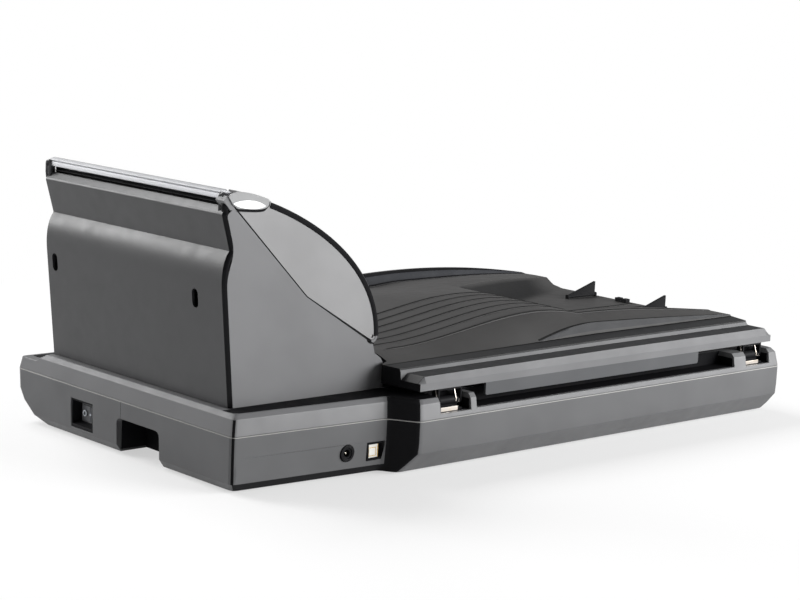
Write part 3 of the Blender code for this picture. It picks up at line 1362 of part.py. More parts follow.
stop_axis_z = TRAY_FLOOR_Z + STOP_BARREL_R + GAP
for side, y in STOP_Y.items():
    tip_x = STOP_X - STOP_LENGTH
    flag = [
        (STOP_X, stop_axis_z - STOP_BARREL_R / 2),
        (STOP_X, stop_axis_z + STOP_BARREL_R),
        (tip_x, stop_axis_z + STOP_HEIGHT),
        (tip_x, stop_axis_z - STOP_BARREL_R / 2),
    ]
    stop = plate(f"paper_stop_{side}", flag, "Y", y - STOP_T / 2, y + STOP_T / 2, BLACK)
    join(
        stop,
        rod(f"{side}_barrel", STOP_BARREL_R, tip_x, STOP_X, "X", (0, y, stop_axis_z), steps=12),
        rod(f"{side}_stub", STOP_PIN_R, tip_x - STOP_LUG_T, STOP_X + STOP_LUG_T, "X", (0, y, stop_axis_z), steps=8),
    )
    for end, x in (("near", STOP_X + GAP), ("far", tip_x - GAP - STOP_LUG_T)):
        lug = box(
            f"{side}_{end}_lug",
            (x, y - STOP_LUG_T, TRAY_FLOOR_Z - TRAY_ROOF / 2),
            (x + STOP_LUG_T, y + STOP_LUG_T, stop_axis_z + STOP_LUG_T),
        )
        join(lid_shell, lug)
    cut(
        lid_shell,
        rod(f"{side}_stub_bore", STOP_PIN_R + RUN, tip_x - STOP_BARREL, STOP_X + STOP_BARREL, "X",
            (0, y, stop_axis_z), group=cutters, steps=8),
        box(
            f"{side}_stop_bed",
            (tip_x - GAP, y - STOP_T, TRAY_FLOOR_Z - GAP),
            (STOP_X + GAP, y + STOP_T, TRAY_FLOOR_Z + OVER),
            group=cutters,
        ),
    )

clip_x = FAR_FLAT_X + GAP
tray_clip = box(
    "tray_clip",
    (clip_x, CLIP_Y - CLIP_WIDTH / 2, TRAY_FLOOR_Z + GAP),
    (clip_x + CLIP_DEPTH, CLIP_Y + CLIP_WIDTH / 2, TRAY_FLOOR_Z + GAP + CLIP_HEIGHT),
    BLACK,
)
cut(
    tray_clip,
    box(
        "clip_slot",
        (clip_x - OVER, CLIP_Y - CLIP_SLOT / 2, TRAY_FLOOR_Z + CLIP_HEIGHT / 2),
        (clip_x + CLIP_DEPTH + OVER, CLIP_Y + CLIP_SLOT / 2, TRAY_FLOOR_Z + CLIP_HEIGHT + OVER),
        group=cutters,
    ),
)

# Feeder tower: end cover and side panels

tower_low = DECK_Z + GAP
cover_path = [
    (COVER_FOOT_X, tower_low),
    (COVER_BULGE_X, COVER_BULGE_Z),
    (COVER_WAIST_X, COVER_WAIST_Z),
    (COVER_FLARE_X, COVER_FLARE_Z),
    (COVER_LIP_X, COVER_LIP_Z),
]
cover_path = soften(cover_path, COVER_R)
adf_end_cover = plate(
    "adf_end_cover",
    ribbon(cover_path, COVER_T),
    "Y",
    TOWER_FRONT_Y + SIDE_T + GAP,
    TOWER_BACK_Y - SIDE_T - GAP,
    GREY,
)
for side, y in HOLE_Y.items():
    low_z = HOLE_Z - HOLE_HEIGHT / 2
    hole = fillet(rectangle(y - HOLE_WIDTH / 2, low_z, y + HOLE_WIDTH / 2, low_z + HOLE_HEIGHT), HOLE_WIDTH / 2, 4)
    cut(
        adf_end_cover,
        plate(f"{side}_oval", hole, "X", COVER_FOOT_X - OVER, COVER_BULGE_X + OVER, group=cutters),
    )

inner_cover = offset(cover_path, COVER_T + GAP)
below = SPLIT / 2
crease = [(MOUTH_X, MOUTH_Z), (KNEE_X, KNEE_Z), (EXIT_TIP_X, EXIT_TIP_Z)]
crease_low = offset(crease, below)
side_outline = [
    (TOWER_X, tower_low),
    *[point for point in inner_cover if point[1] < MOUTH_Z - below],
    *crease_low,
    (TOWER_X, SIDE_FOOT_Z),
]
horn = [
    (MOUTH_X + GAP, MOUTH_Z - WALL),
    (COVER_LIP_X - GAP, MOUTH_Z - WALL),
    (HORN_TIP_X, HORN_TIP_Z - HORN_T),
    (HORN_TIP_X - HORN_T, HORN_TIP_Z),
    (MOUTH_X + GAP, MOUTH_Z + WALL),
]
slot_post = rectangle(MOUTH_X + GAP, MOUTH_Z - WALL, COVER_LIP_X + SIDE_T, SLOT_POST_Z)
horn_low_y = TOWER_BACK_Y - HORN_WIDTH
cut(
    adf_end_cover,
    box(
        "horn_notch",
        (MOUTH_X, horn_low_y - GAP, MOUTH_Z - WALL - GAP),
        (HORN_TIP_X, TOWER_BACK_Y, HORN_TIP_Z),
        group=cutters,
    ),
)
door_axis = (DOOR_AXIS_X, 0, DOOR_AXIS_Z)
panels = {
    "adf_rear_panel": (TOWER_BACK_Y - SIDE_T, TOWER_BACK_Y),
    "adf_front_panel": (TOWER_FRONT_Y, TOWER_FRONT_Y + SIDE_T),
}
for name, (low_y, high_y) in panels.items():
    panel = plate(name, side_outline, "Y", low_y, high_y, GREY)
    if name == "adf_rear_panel":
        join(panel, plate("rear_horn", horn, "Y", horn_low_y, high_y))
    else:
        join(panel, plate("slot_end", slot_post, "Y", low_y, high_y))
    cut(panel, rod(f"{name}_swing", DOOR_END_R + SPLIT, TOWER_FRONT_Y - OVER, TOWER_BACK_Y + OVER, "Y", door_axis,
                   group=cutters))

# Feeder door: a curved shell, two cheeks and the inner guide


def door_path():
    """The door's outer line from its top edge, over the curve and round its foot at the hinge."""
    start = Vector((DOOR_TOP_X, DOOR_TOP_Z))
    end = Vector((DOOR_AXIS_X - DOOR_END_R, DOOR_AXIS_Z))
    lead = start - Vector((math.cos(DOOR_TOP_SLOPE), math.sin(DOOR_TOP_SLOPE))) * DOOR_TOP_REACH
    trail = end + Vector((0.0, DOOR_FOOT_REACH))
    points = []
    for i in range(DOOR_STEPS):
        t = i / DOOR_STEPS
        points.append(
            (1 - t) ** 3 * start + 3 * (1 - t) ** 2 * t * lead + 3 * (1 - t) * t * t * trail + t ** 3 * end
        )
    foot = arc((DOOR_AXIS_X, DOOR_AXIS_Z), DOOR_END_R, 180 * DEG, 180 * DEG + DOOR_END_TURN, 6)
    return [tuple(point) for point in points] + foot


outer_line = door_path()
door_outline = ribbon(outer_line, DOOR_T)
door_outline[-1] = (DOOR_TOP_X, door_outline[-1][1])
door_shell = plate("adf_door_shell", door_outline, "Y", TOWER_FRONT_Y, TOWER_BACK_Y, GREY)
inner_line = offset(outer_line, DOOR_T + GAP)
inner_line[0] = (DOOR_TOP_X - GAP, inner_line[0][1])
crease_high = offset(crease, -below)
cheek_outline = inner_line + [
    (DOOR_AXIS_X + DOOR_FOOT_CLEAR, crease_high[2][1] + DOOR_FOOT_CLEAR),
    crease_high[1],
    (DOOR_TOP_X - GAP, height_at(crease_high, DOOR_TOP_X - GAP)),
]
latch_axis = (DOOR_TOP_X - LATCH_EYE_R, DOOR_TOP_Z - LATCH_EYE_R - LATCH_PROUD)
latch_outline = [
    *arc(latch_axis, LATCH_EYE_R, -90 * DEG, 0, 4),
    (DOOR_TOP_X, DOOR_TOP_Z + LATCH_PROUD),
    *[(x, z + LATCH_PROUD) for x, z in outer_line if LATCH_TIP_X < x < DOOR_TOP_X],
    (LATCH_TIP_X, LATCH_TIP_Z),
    (blend(LATCH_TIP_X, DOOR_TOP_X, LATCH_BELLY_SHARE), DOOR_TOP_Z - LATCH_DROP),
]
latch_room = inset(latch_outline, (-GAP,) * len(latch_outline))
cheeks = {
    "adf_door_cheek_rear": (TOWER_BACK_Y - SIDE_T, TOWER_BACK_Y),
    "adf_door_cheek_front": (TOWER_FRONT_Y, TOWER_FRONT_Y + SIDE_T),
}
for name, (low_y, high_y) in cheeks.items():
    cheek = plate(name, cheek_outline, "Y", low_y, high_y, GREY)
    cut(cheek, rod(f"{name}_bore", DOOR_ROD_R + RUN, low_y - OVER, high_y + OVER, "Y", door_axis, group=cutters,
                   steps=12))
for target in (door_shell, bpy.data.objects["adf_door_cheek_rear"]):
    cut(
        target,
        plate(f"{target.name}_latch_room", latch_room, "Y", LATCH_FRONT_Y - GAP, TOWER_BACK_Y + OVER, group=cutters),
    )
release_latch = plate("release_latch", latch_outline, "Y", LATCH_FRONT_Y, TOWER_BACK_Y + LATCH_PROUD, SILVER)
trim_low_z = DOOR_TOP_Z + LATCH_PROUD - TRIM_HEIGHT
trim_outline = fillet(
    rectangle(DOOR_TOP_X + GAP, trim_low_z, DOOR_TOP_X + GAP + TRIM_WIDTH, trim_low_z + TRIM_HEIGHT), TRIM_R, 3
)
plate("adf_silver_trim", trim_outline, "Y", TRIM_FRONT_Y, TRIM_BACK_Y, SILVER)
rod(
    "adf_door_rod",
    DOOR_ROD_R,
    TOWER_FRONT_Y + SIDE_T / 2,
    TOWER_BACK_Y - SIDE_T / 2,
    "Y",
    door_axis,
    STEEL,
    steps=12,
)

# Inside the feeder: steel frames, paper guides, rollers and their belt

guide_line = offset(crease, GUIDE_DROP)


def on_crease(x):
    """A point of the crease and the unit vector across it, towards the door."""
    high, low = (crease[0], crease[1]) if x > KNEE_X else (crease[1], crease[2])
    along = (Vector(low) - Vector(high)).normalized()
    share = (x - high[0]) / (low[0] - high[0])
    return Vector(high).lerp(Vector(low), share), Vector((along.y, -along.x))


def roller_axis(x, radius, towards_door):
    point, across = on_crease(x)
    return point + across * (radius + NIP) * (1 if towards_door else -1)


feed_axis = roller_axis(FEED_X, FEED_R, False)
upper_axis = roller_axis(FEED_X, UPPER_FEED_R, True)
exit_axis = roller_axis(EXIT_X, EXIT_R, False)
idler_axis = roller_axis(EXIT_X, EXIT_IDLER_R, True)

guide_path = [
    (GUIDE_TOP_X, height_at(guide_line, GUIDE_TOP_X)),
    guide_line[1],
    tuple(on_crease(EXIT_X)[0] - on_crease(EXIT_X)[1] * GUIDE_DROP),
    (THROAT_X, THROAT_Z),
    (GUIDE_WALL_X, SILL_Z),
    (GUIDE_WALL_X, tower_low),
]
guide_low_y = FRAME_FRONT_Y + FRAME_T + GAP
guide_high_y = FRAME_BACK_Y - GAP
adf_paper_guide = plate("adf_paper_guide", ribbon(guide_path, GUIDE_T), "Y", guide_low_y, guide_high_y, BLACK)
frame_line = offset(crease, GUIDE_DROP / 2 + below)
frame_top = frame_line[:2]
foot_turn = DOOR_END_TURN + DOOR_OPEN + EAR_MARGIN - 180 * DEG
ear_side = Vector((math.cos(foot_turn), math.sin(foot_turn)))
foot_room = DOOR_END_R + SPLIT * 2
frame_outline = [
    (FRAME_MIN_X, tower_low),
    (FRAME_END_X, tower_low),
    (FRAME_END_X, height_at(frame_line, FRAME_END_X)),
    frame_top[1],
    (DOOR_AXIS_X + foot_room * 2, height_at(frame_line, DOOR_AXIS_X + foot_room * 2)),
    (DOOR_AXIS_X, DOOR_AXIS_Z + DOOR_EAR_R - SPLIT / 2),
    (DOOR_AXIS_X + ear_side.x * DOOR_EAR_R, DOOR_AXIS_Z + ear_side.y * DOOR_EAR_R),
    (DOOR_AXIS_X + ear_side.x * foot_room, DOOR_AXIS_Z + ear_side.y * foot_room),
    (FRAME_MIN_X, DOOR_AXIS_Z - foot_room),
]
frames = {"adf_frame_rear": FRAME_BACK_Y, "adf_frame_front": FRAME_FRONT_Y}
motor_centre = (FEED_MOTOR_X, 0, FEED_MOTOR_Z)
for name, low_y in frames.items():
    high_y = low_y + FRAME_T
    frame = plate(name, frame_outline, "Y", low_y, high_y, STEEL)
    join(frame, rod(f"{name}_ear", DOOR_EAR_R, low_y, high_y, "Y", door_axis, steps=16))
    cut(
        frame,
        rod(f"{name}_rod_hole", DOOR_ROD_R + RUN, low_y - OVER, high_y + OVER, "Y", door_axis, group=cutters,
            steps=12),
        rod(f"{name}_feed_hole", SHAFT_R + RUN, low_y - OVER, high_y + OVER, "Y", (feed_axis.x, 0, feed_axis.y),
            group=cutters, steps=16),
        rod(f"{name}_exit_hole", SHAFT_R + RUN, low_y - OVER, high_y + OVER, "Y", (exit_axis.x, 0, exit_axis.y),
            group=cutters, steps=16),
    )
cut(
    bpy.data.objects["adf_frame_front"],
    rod("motor_shaft_hole", FEED_MOTOR_SHAFT_R * 2, FRAME_FRONT_Y - OVER, FRAME_FRONT_Y + OVER, "Y", motor_centre,
        group=cutters, steps=16),
)

belt_low_y = FEED_BELT_Y - FEED_BELT_WIDTH / 2
belt_high_y = FEED_BELT_Y + FEED_BELT_WIDTH / 2
shaft_high_y = FRAME_BACK_Y + FRAME_T + RUN * 4


def driven_profile(stations, radius):
    """A shaft with its belt pulley at the front end and raised rolls at the stations."""
    points = [(0, shaft_high_y), (SHAFT_R, shaft_high_y)]
    for low, high in sorted(stations, reverse=True):
        points += [(SHAFT_R, high), (radius, high), (radius, low), (SHAFT_R, low)]
    points += [
        (SHAFT_R, belt_high_y + GAP),
        (FEED_PULLEY_R - GAP, belt_high_y + GAP),
        (FEED_PULLEY_R - GAP, belt_low_y - GAP),
        (0, belt_low_y - GAP),
    ]
    return points


turned("feed_shaft", driven_profile([], SHAFT_R), "Y", (feed_axis.x, 0, feed_axis.y), STEEL, steps=16)
tyre_profile = (
    (FEED_R, FEED_TYRE_WIDTH / 2),
    (FEED_R, -FEED_TYRE_WIDTH / 2),
    (SHAFT_R + GAP, -FEED_TYRE_WIDTH / 2),
    (SHAFT_R + GAP, FEED_TYRE_WIDTH / 2),
)
middle_y = (TOWER_BACK_Y + TOWER_FRONT_Y) / 2
turned("feed_tyre", tyre_profile, "Y", (feed_axis.x, middle_y, feed_axis.y), RUBBER, ring=True)
roll_stations = [
    (middle_y + side * ROLL_Y - ROLL_WIDTH / 2, middle_y + side * ROLL_Y + ROLL_WIDTH / 2) for side in (-1, 1)
]
turned("exit_roller", driven_profile(roll_stations, EXIT_R), "Y", (exit_axis.x, 0, exit_axis.y), RUBBER, steps=16)
cut(
    adf_paper_guide,
    box(
        "feed_opening",
        (feed_axis.x - FEED_R - WALL, middle_y - FEED_TYRE_WIDTH / 2 - WALL, feed_axis.y - FEED_R - WALL),
        (feed_axis.x + FEED_R + WALL, middle_y + FEED_TYRE_WIDTH / 2 + WALL, feed_axis.y + FEED_R + WALL),
        group=cutters,
    ),
    *[
        box(
            f"exit_opening_{i}",
            (exit_axis.x - EXIT_R - GAP, low - WALL, exit_axis.y - EXIT_R),
            (exit_axis.x + EXIT_R + GAP, high + WALL, exit_axis.y + EXIT_R + WALL),
            group=cutters,
        )
        for i, (low, high) in enumerate(roll_stations)
    ],
)

scan_point, scan_across = on_crease(SCAN_X)
scan_along = Vector((-scan_across.y, scan_across.x))
scan_top = scan_point - scan_across * (GUIDE_DROP + GUIDE_T + GAP)
scan_corners = [
    scan_top - scan_along * SCAN_WIDTH / 2,
    scan_top + scan_along * SCAN_WIDTH / 2,
    scan_top + scan_along * SCAN_WIDTH / 2 - scan_across * SCAN_DEPTH,
    scan_top - scan_along * SCAN_WIDTH / 2 - scan_across * SCAN_DEPTH,
]
plate("adf_scan_module", [tuple(c) for c in scan_corners], "Y", guide_low_y, guide_high_y, BLACK)
scan_slot = [
    scan_top + scan_along * side * SCAN_WIDTH / 3 + scan_across * rise * SCAN_DEPTH
    for side, rise in ((-1, 1), (1, 1), (1, -1), (-1, -1))
]
slot_inset = SCAN_WIDTH
cut(
    adf_paper_guide,
    plate("scan_slot", [tuple(c) for c in scan_slot], "Y", guide_low_y + slot_inset, guide_high_y - slot_inset,
          group=cutters),
)

motor_high_y = FRAME_FRONT_Y + FRAME_T + GAP + FEED_MOTOR_LENGTH
feed_motor_profile = (
    (0, motor_high_y),
    (FEED_MOTOR_R, motor_high_y),
    (FEED_MOTOR_R, FRAME_FRONT_Y + FRAME_T + GAP),
    (FEED_MOTOR_SHAFT_R, FRAME_FRONT_Y + FRAME_T + GAP),
    (FEED_MOTOR_SHAFT_R, belt_low_y - GAP),
    (0, belt_low_y - GAP),
)
turned("adf_motor", feed_motor_profile, "Y", motor_centre, STEEL)
pinion_profile = (
    (FEED_PULLEY_R - GAP, belt_high_y + GAP),
    (FEED_PULLEY_R - GAP, belt_low_y - GAP),
    (FEED_MOTOR_SHAFT_R + RUN, belt_low_y - GAP),
    (FEED_MOTOR_SHAFT_R + RUN, belt_high_y + GAP),
)
turned("adf_motor_pulley", pinion_profile, "Y", motor_centre, STEEL, ring=True, steps=16)


def feed_belt_outline(radius):
    """The belt's line round its three pulleys, in the order motor, exit and feed."""
    centres = [Vector((FEED_MOTOR_X, FEED_MOTOR_Z)), exit_axis, feed_axis]
    points = []
    for i, centre in enumerate(centres):
        into = (centre - centres[i - 1]).normalized()
        out = (centres[(i + 1) % 3] - centre).normalized()
        start = math.atan2(into.x, -into.y)
        end = math.atan2(out.x, -out.y)
        turn = (end - start) % (360 * DEG) - 360 * DEG
        points += arc(centre, radius, start, start + turn, 8)
    return points


plate(
    "adf_belt",
    feed_belt_outline(FEED_PULLEY_R + FEED_BELT_T),
    "Y",
    belt_low_y,
    belt_high_y,
    RUBBER,
    holes=(feed_belt_outline(FEED_PULLEY_R),),
)

# On the door: its guide with two webs, the upper feed roller and the exit idler

lift_line = offset(crease, -DOOR_GUIDE_LIFT)
roof_z = height_at(inner_line[:DOOR_STEPS], DOOR_GUIDE_TOP_X - GUIDE_T)
foot_point, foot_across = on_crease(DOOR_AXIS_X + DOOR_FOOT_CLEAR * 2)
door_guide_path = [
    tuple(foot_point + foot_across * DOOR_GUIDE_LIFT),
    lift_line[1],
    (DOOR_GUIDE_TOP_X, height_at(lift_line, DOOR_GUIDE_TOP_X)),
    (DOOR_GUIDE_TOP_X, roof_z),
]
adf_door_guide = plate("adf_door_guide", ribbon(door_guide_path, GUIDE_T), "Y", guide_low_y, guide_high_y, BLACK)
cut(
    adf_door_guide,
    plate("guide_latch_room", latch_room, "Y", LATCH_FRONT_Y - GAP, TOWER_BACK_Y + OVER, group=cutters),
)
web_line = offset(crease, -DOOR_GUIDE_LIFT - GUIDE_T / 2)
foot_web, top_web = on_crease(EXIT_X - WEB_HEIGHT / 2), on_crease(FEED_X + WEB_HEIGHT / 2)
web_outline = [
    tuple(foot_web[0] + foot_web[1] * (DOOR_GUIDE_LIFT + GUIDE_T / 2)),
    web_line[1],
    tuple(top_web[0] + top_web[1] * (DOOR_GUIDE_LIFT + GUIDE_T / 2)),
    tuple(top_web[0] + top_web[1] * WEB_HEIGHT),
    tuple(Vector(web_line[1]) + Vector((-1, 1)).normalized() * WEB_HEIGHT),
    tuple(foot_web[0] + foot_web[1] * WEB_HEIGHT),
]
web_ys = {"rear": WEB_Y, "front": TOWER_BACK_Y + TOWER_FRONT_Y - WEB_Y - WEB_T}
for side, low_y in web_ys.items():
    join(adf_door_guide, plate(f"{side}_web", web_outline, "Y", low_y, low_y + WEB_T))
    for label, axis in (("upper", upper_axis), ("idler", idler_axis)):
        cut(
            adf_door_guide,
            rod(f"{side}_{label}_bore", DOOR_SHAFT_R + RUN, low_y - OVER, low_y + WEB_T + OVER, "Y",
                (axis.x, 0, axis.y), group=cutters, steps=12),
        )
door_shaft_low = web_ys["front"] - SHAFT_END
door_shaft_high = web_ys["rear"] + WEB_T + SHAFT_END


def idler_profile(stations, radius):
    points = [(0, door_shaft_high), (DOOR_SHAFT_R, door_shaft_high)]
    for low, high in sorted(stations, reverse=True):
        points += [(DOOR_SHAFT_R, high), (radius, high), (radius, low), (DOOR_SHAFT_R, low)]
    return points + [(DOOR_SHAFT_R, door_shaft_low), (0, door_shaft_low)]


upper_station = [(middle_y - UPPER_FEED_WIDTH / 2, middle_y + UPPER_FEED_WIDTH / 2)]
turned("upper_feed_roller", idler_profile(upper_station, UPPER_FEED_R), "Y", (upper_axis.x, 0, upper_axis.y), RUBBER,
       steps=16)
turned("exit_idler", idler_profile(roll_stations, EXIT_IDLER_R), "Y", (idler_axis.x, 0, idler_axis.y), RUBBER,
       steps=16)
cut(
    adf_door_guide,
    box(
        "upper_opening",
        (upper_axis.x - UPPER_FEED_R - GAP, upper_station[0][0] - WALL, upper_axis.y - UPPER_FEED_R - GAP),
        (upper_axis.x + UPPER_FEED_R + GAP, upper_station[0][1] + WALL, upper_axis.y + UPPER_FEED_R + GAP),
        group=cutters,
    ),
    *[
        box(
            f"idler_opening_{i}",
            (idler_axis.x - EXIT_IDLER_R - GAP, low - WALL, idler_axis.y - EXIT_IDLER_R - GAP),
            (idler_axis.x + EXIT_IDLER_R + GAP, high + WALL, idler_axis.y + EXIT_IDLER_R + GAP),
            group=cutters,
        )
        for i, (low, high) in enumerate(roll_stations)
    ],
)

# Each finished shape takes its modifiers' result, shaded smooth between its sharp edges

graph = bpy.context.evaluated_depsgraph_get()
finished = {obj: bpy.data.meshes.new_from_object(obj.evaluated_get(graph)) for obj in parts.objects}
for obj, mesh in finished.items():
    obj.modifiers.clear()
    obj.data = mesh
    mesh.name = obj.name
    mesh.shade_smooth()
    mesh.set_sharp_from_angle(angle=SHARP)

# The root stands the machine on its feet

root = bpy.data.objects.new("scanner_root", None)
parts.objects.link(root)
root.location = (0, 0, FOOT_HEIGHT)
for obj in list(parts.objects) + list(cutters.objects):
    if obj is not root:
        obj.parent = root
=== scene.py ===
"""The dressed flatbed scanner: its mouldings, tray, feeder and fittings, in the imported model's frame."""

import json
import math

import bmesh
import bpy
from mathutils import Matrix, Vector


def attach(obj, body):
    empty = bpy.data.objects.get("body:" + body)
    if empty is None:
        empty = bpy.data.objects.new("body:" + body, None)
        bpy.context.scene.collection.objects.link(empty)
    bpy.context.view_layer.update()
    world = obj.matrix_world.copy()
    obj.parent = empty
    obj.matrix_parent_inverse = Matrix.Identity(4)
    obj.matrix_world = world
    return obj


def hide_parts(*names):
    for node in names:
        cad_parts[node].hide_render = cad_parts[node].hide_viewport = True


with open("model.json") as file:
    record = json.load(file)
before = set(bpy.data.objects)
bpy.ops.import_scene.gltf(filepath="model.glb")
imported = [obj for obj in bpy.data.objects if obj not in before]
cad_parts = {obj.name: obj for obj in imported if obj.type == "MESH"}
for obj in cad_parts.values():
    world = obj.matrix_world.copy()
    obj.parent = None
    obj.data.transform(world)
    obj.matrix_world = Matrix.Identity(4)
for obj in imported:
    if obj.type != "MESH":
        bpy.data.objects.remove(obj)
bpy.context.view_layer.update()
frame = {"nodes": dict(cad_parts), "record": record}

MM = 0.001
DEG = math.radians(1)
LIFT = 1.5 * MM

bpy.context.scene.view_settings.view_transform = "Standard"


# Camera, at the photograph's angle

azimuth, elevation, roll = 137.717 * DEG, 9.557 * DEG, 2.610 * DEG
back = Vector((math.sin(azimuth) * math.cos(elevation), -math.cos(azimuth) * math.cos(elevation), math.sin(elevation)))
sideways = Vector((math.cos(azimuth), math.sin(azimuth), 0))
upright = back.cross(sideways)
right = sideways * math.cos(roll) + upright * math.sin(roll)
up = upright * math.cos(roll) - sideways * math.sin(roll)
lens = bpy.data.cameras.new("photo_camera")
lens.lens, lens.sensor_width, lens.clip_start = 93.58, 36, 0.01
camera = bpy.data.objects.new("photo_camera", lens)
camera.matrix_world = Matrix((right, up, back)).transposed().to_4x4()
camera.matrix_world.translation = (1.18766, 1.28283, 0.39398)
bpy.context.scene.collection.objects.link(camera)
bpy.context.scene.camera = camera


# Finishes

class Finish:
    """A material under construction: the shader and short calls for the nodes that feed it."""

    def __init__(self, name, colour, roughness, metallic=0.0, **shader):
        self.material = bpy.data.materials.new(name)
        self.material.use_nodes = True
        self.tree = self.material.node_tree
        self.shader = self.tree.nodes["Principled BSDF"]
        self.shader.inputs["Base Color"].default_value = (*colour, 1)
        self.shader.inputs["Roughness"].default_value = roughness
        self.shader.inputs["Metallic"].default_value = metallic
        for socket, value in shader.items():
            self.shader.inputs[socket.replace("_", " ")].default_value = value
        self.colour, self.roughness = colour, roughness
        self.place = self.tree.nodes.new("ShaderNodeTexCoord").outputs["Object"]
        self.last_bump = None

    def node(self, kind, **settings):
        """A new node of that kind with its settings."""
        made = self.tree.nodes.new(kind)
        for key, value in settings.items():
            setattr(made, key, value)
        return made

    def wire(self, source, target):
        self.tree.links.new(source, target)

    def stretched(self, scale):
        """The piece's own place, stretched along its axes."""
        mapping = self.node("ShaderNodeMapping")
        mapping.inputs["Scale"].default_value = scale
        self.wire(self.place, mapping.inputs["Vector"])
        return mapping.outputs["Vector"]

    def noise(self, size, detail=3.0, scale=(1, 1, 1)):
        """Soft noise with spots about as large as the size in metres."""
        made = self.node("ShaderNodeTexNoise")
        made.inputs["Scale"].default_value = 1 / size
        made.inputs["Detail"].default_value = detail
        self.wire(self.stretched(scale) if scale != (1, 1, 1) else self.place, made.inputs["Vector"])
        return made.outputs["Fac"]

    def cells(self, size):
        """A pattern of cells about as large as the size in metres."""
        made = self.node("ShaderNodeTexVoronoi")
        made.inputs["Scale"].default_value = 1 / size
        self.wire(self.place, made.inputs["Vector"])
        return made.outputs["Distance"]

    def painted(self, attribute, other):
        """A second colour laid on where the piece's own attribute says so."""
        before = self.shader.inputs["Base Color"].links[0].from_socket
        mixed = self.node("ShaderNodeMix", data_type="RGBA")
        first, second = [socket for socket in mixed.inputs if socket.type == "RGBA"]
        second.default_value = (*other, 1)
        self.wire(before, first)
        self.wire(self.node("ShaderNodeAttribute", attribute_name=attribute).outputs["Fac"], mixed.inputs["Factor"])
        result = next(socket for socket in mixed.outputs if socket.type == "RGBA")
        self.wire(result, self.shader.inputs["Base Color"])

    def ranged(self, source, low, high, start=0.3, end=0.7):
        """The source's values from start to end spread out from low to high."""
        made = self.node("ShaderNodeMapRange")
        for key, value in zip(("From Min", "From Max", "To Min", "To Max"), (start, end, low, high)):
            made.inputs[key].default_value = value
        self.wire(source, made.inputs["Value"])
        return made.outputs["Result"]

    def mottle(self, source, other, start=0.35, end=0.65):
        """The colour drifts between the base colour and another one."""
        ramp = self.node("ShaderNodeValToRGB")
        first, second = ramp.color_ramp.elements
        first.position, second.position = start, end
        first.color, second.color = (*self.colour, 1), (*other, 1)
        self.wire(source, ramp.inputs["Fac"])
        self.wire(ramp.outputs["Color"], self.shader.inputs["Base Color"])
        return self

    def gloss(self, source, spread):
        """The roughness drifts about its own value."""
        rough = self.ranged(source, self.roughness - spread, self.roughness + spread)
        self.wire(rough, self.shader.inputs["Roughness"])
        return self

    def bump(self, source, depth, strength):
        """Fine relief, laid over what was there before."""
        made = self.node("ShaderNodeBump")
        made.inputs["Distance"].default_value = depth
        made.inputs["Strength"].default_value = strength
        self.wire(source, made.inputs["Height"])
        if self.last_bump:
            self.wire(self.last_bump, made.inputs["Normal"])
        self.last_bump = made.outputs["Normal"]
        self.wire(self.last_bump, self.shader.inputs["Normal"])
        return self


def moulded(name, colour, roughness, drift=0.12, shaded=None, **shader):
    """Injection-moulded plastic: fine spark-eroded grain, faint flow shading and handling marks in the gloss, with
    painted shade from the shade attribute where shaded is given.
    """
    finish = Finish(name, colour, roughness, **shader)
    lighter = tuple(min(1, c * (1 + drift)) for c in colour)
    finish.mottle(finish.noise(0.05, 2), lighter)
    if shaded:
        finish.painted("shade", shaded)
    finish.gloss(finish.noise(0.012, 4), 0.05)
    finish.bump(finish.noise(0.00045, 4), 0.000048, 0.5)
    finish.bump(finish.noise(0.03, 1), 0.00006, 0.25)
    return finish.material


def plated(name, colour, roughness, brush):
    """Plated steel with rolling or turning lines along one axis and a warm stain here and there."""
    finish = Finish(name, colour, roughness, 1.0)
    warm = tuple(c * share for c, share in zip(colour, (0.946, 0.856, 0.676)))
    finish.mottle(finish.noise(0.006, 3), warm, 0.5, 0.75)
    finish.gloss(finish.noise(0.0006, 3, brush), 0.08)
    finish.bump(finish.noise(0.0005, 3, brush), 0.00001, 0.5)
    return finish.material


def silver_paint():
    finish = Finish("silver_paint", (0.3, 0.305, 0.32), 0.42, 0.1)
    finish.mottle(finish.noise(0.01, 2), (0.34, 0.345, 0.36))
    finish.gloss(finish.noise(0.004, 3), 0.05)
    finish.bump(finish.noise(0.0003, 2), 0.00001, 0.3)
    return finish.material


def rubber():
    finish = Finish("roller_rubber", (0.02, 0.02, 0.021), 0.8)
    finish.mottle(finish.noise(0.003, 3), (0.045, 0.044, 0.043))
    finish.gloss(finish.noise(0.002, 3), 0.08)
    finish.bump(finish.noise(0.0006, 4), 0.00008, 0.6)
    return finish.material


def foam():
    finish = Finish("white_foam", (0.8, 0.8, 0.78), 0.85)
    finish.mottle(finish.noise(0.02, 3), (0.74, 0.74, 0.72))
    finish.gloss(finish.noise(0.003, 3), 0.06)
    finish.bump(finish.cells(0.0009), 0.00012, 0.5)
    return finish.material


def clear_glass():
    finish = Finish("platen_glass", (0.9, 0.96, 0.95), 0.03, Transmission_Weight=0.95, IOR=1.5)
    finish.mottle(finish.noise(0.08, 2), (0.86, 0.94, 0.93))
    finish.gloss(finish.noise(0.02, 3), 0.015)
    finish.bump(finish.noise(0.06, 1), 0.00001, 0.1)
    return finish.material


def circuit_green():
    finish = Finish("circuit_green", (0.012, 0.12, 0.045), 0.38)
    finish.mottle(finish.cells(0.004), (0.02, 0.2, 0.08), 0.4, 0.5)
    finish.gloss(finish.noise(0.003, 3), 0.06)
    finish.bump(finish.cells(0.0025), 0.00008, 0.6)
    return finish.material


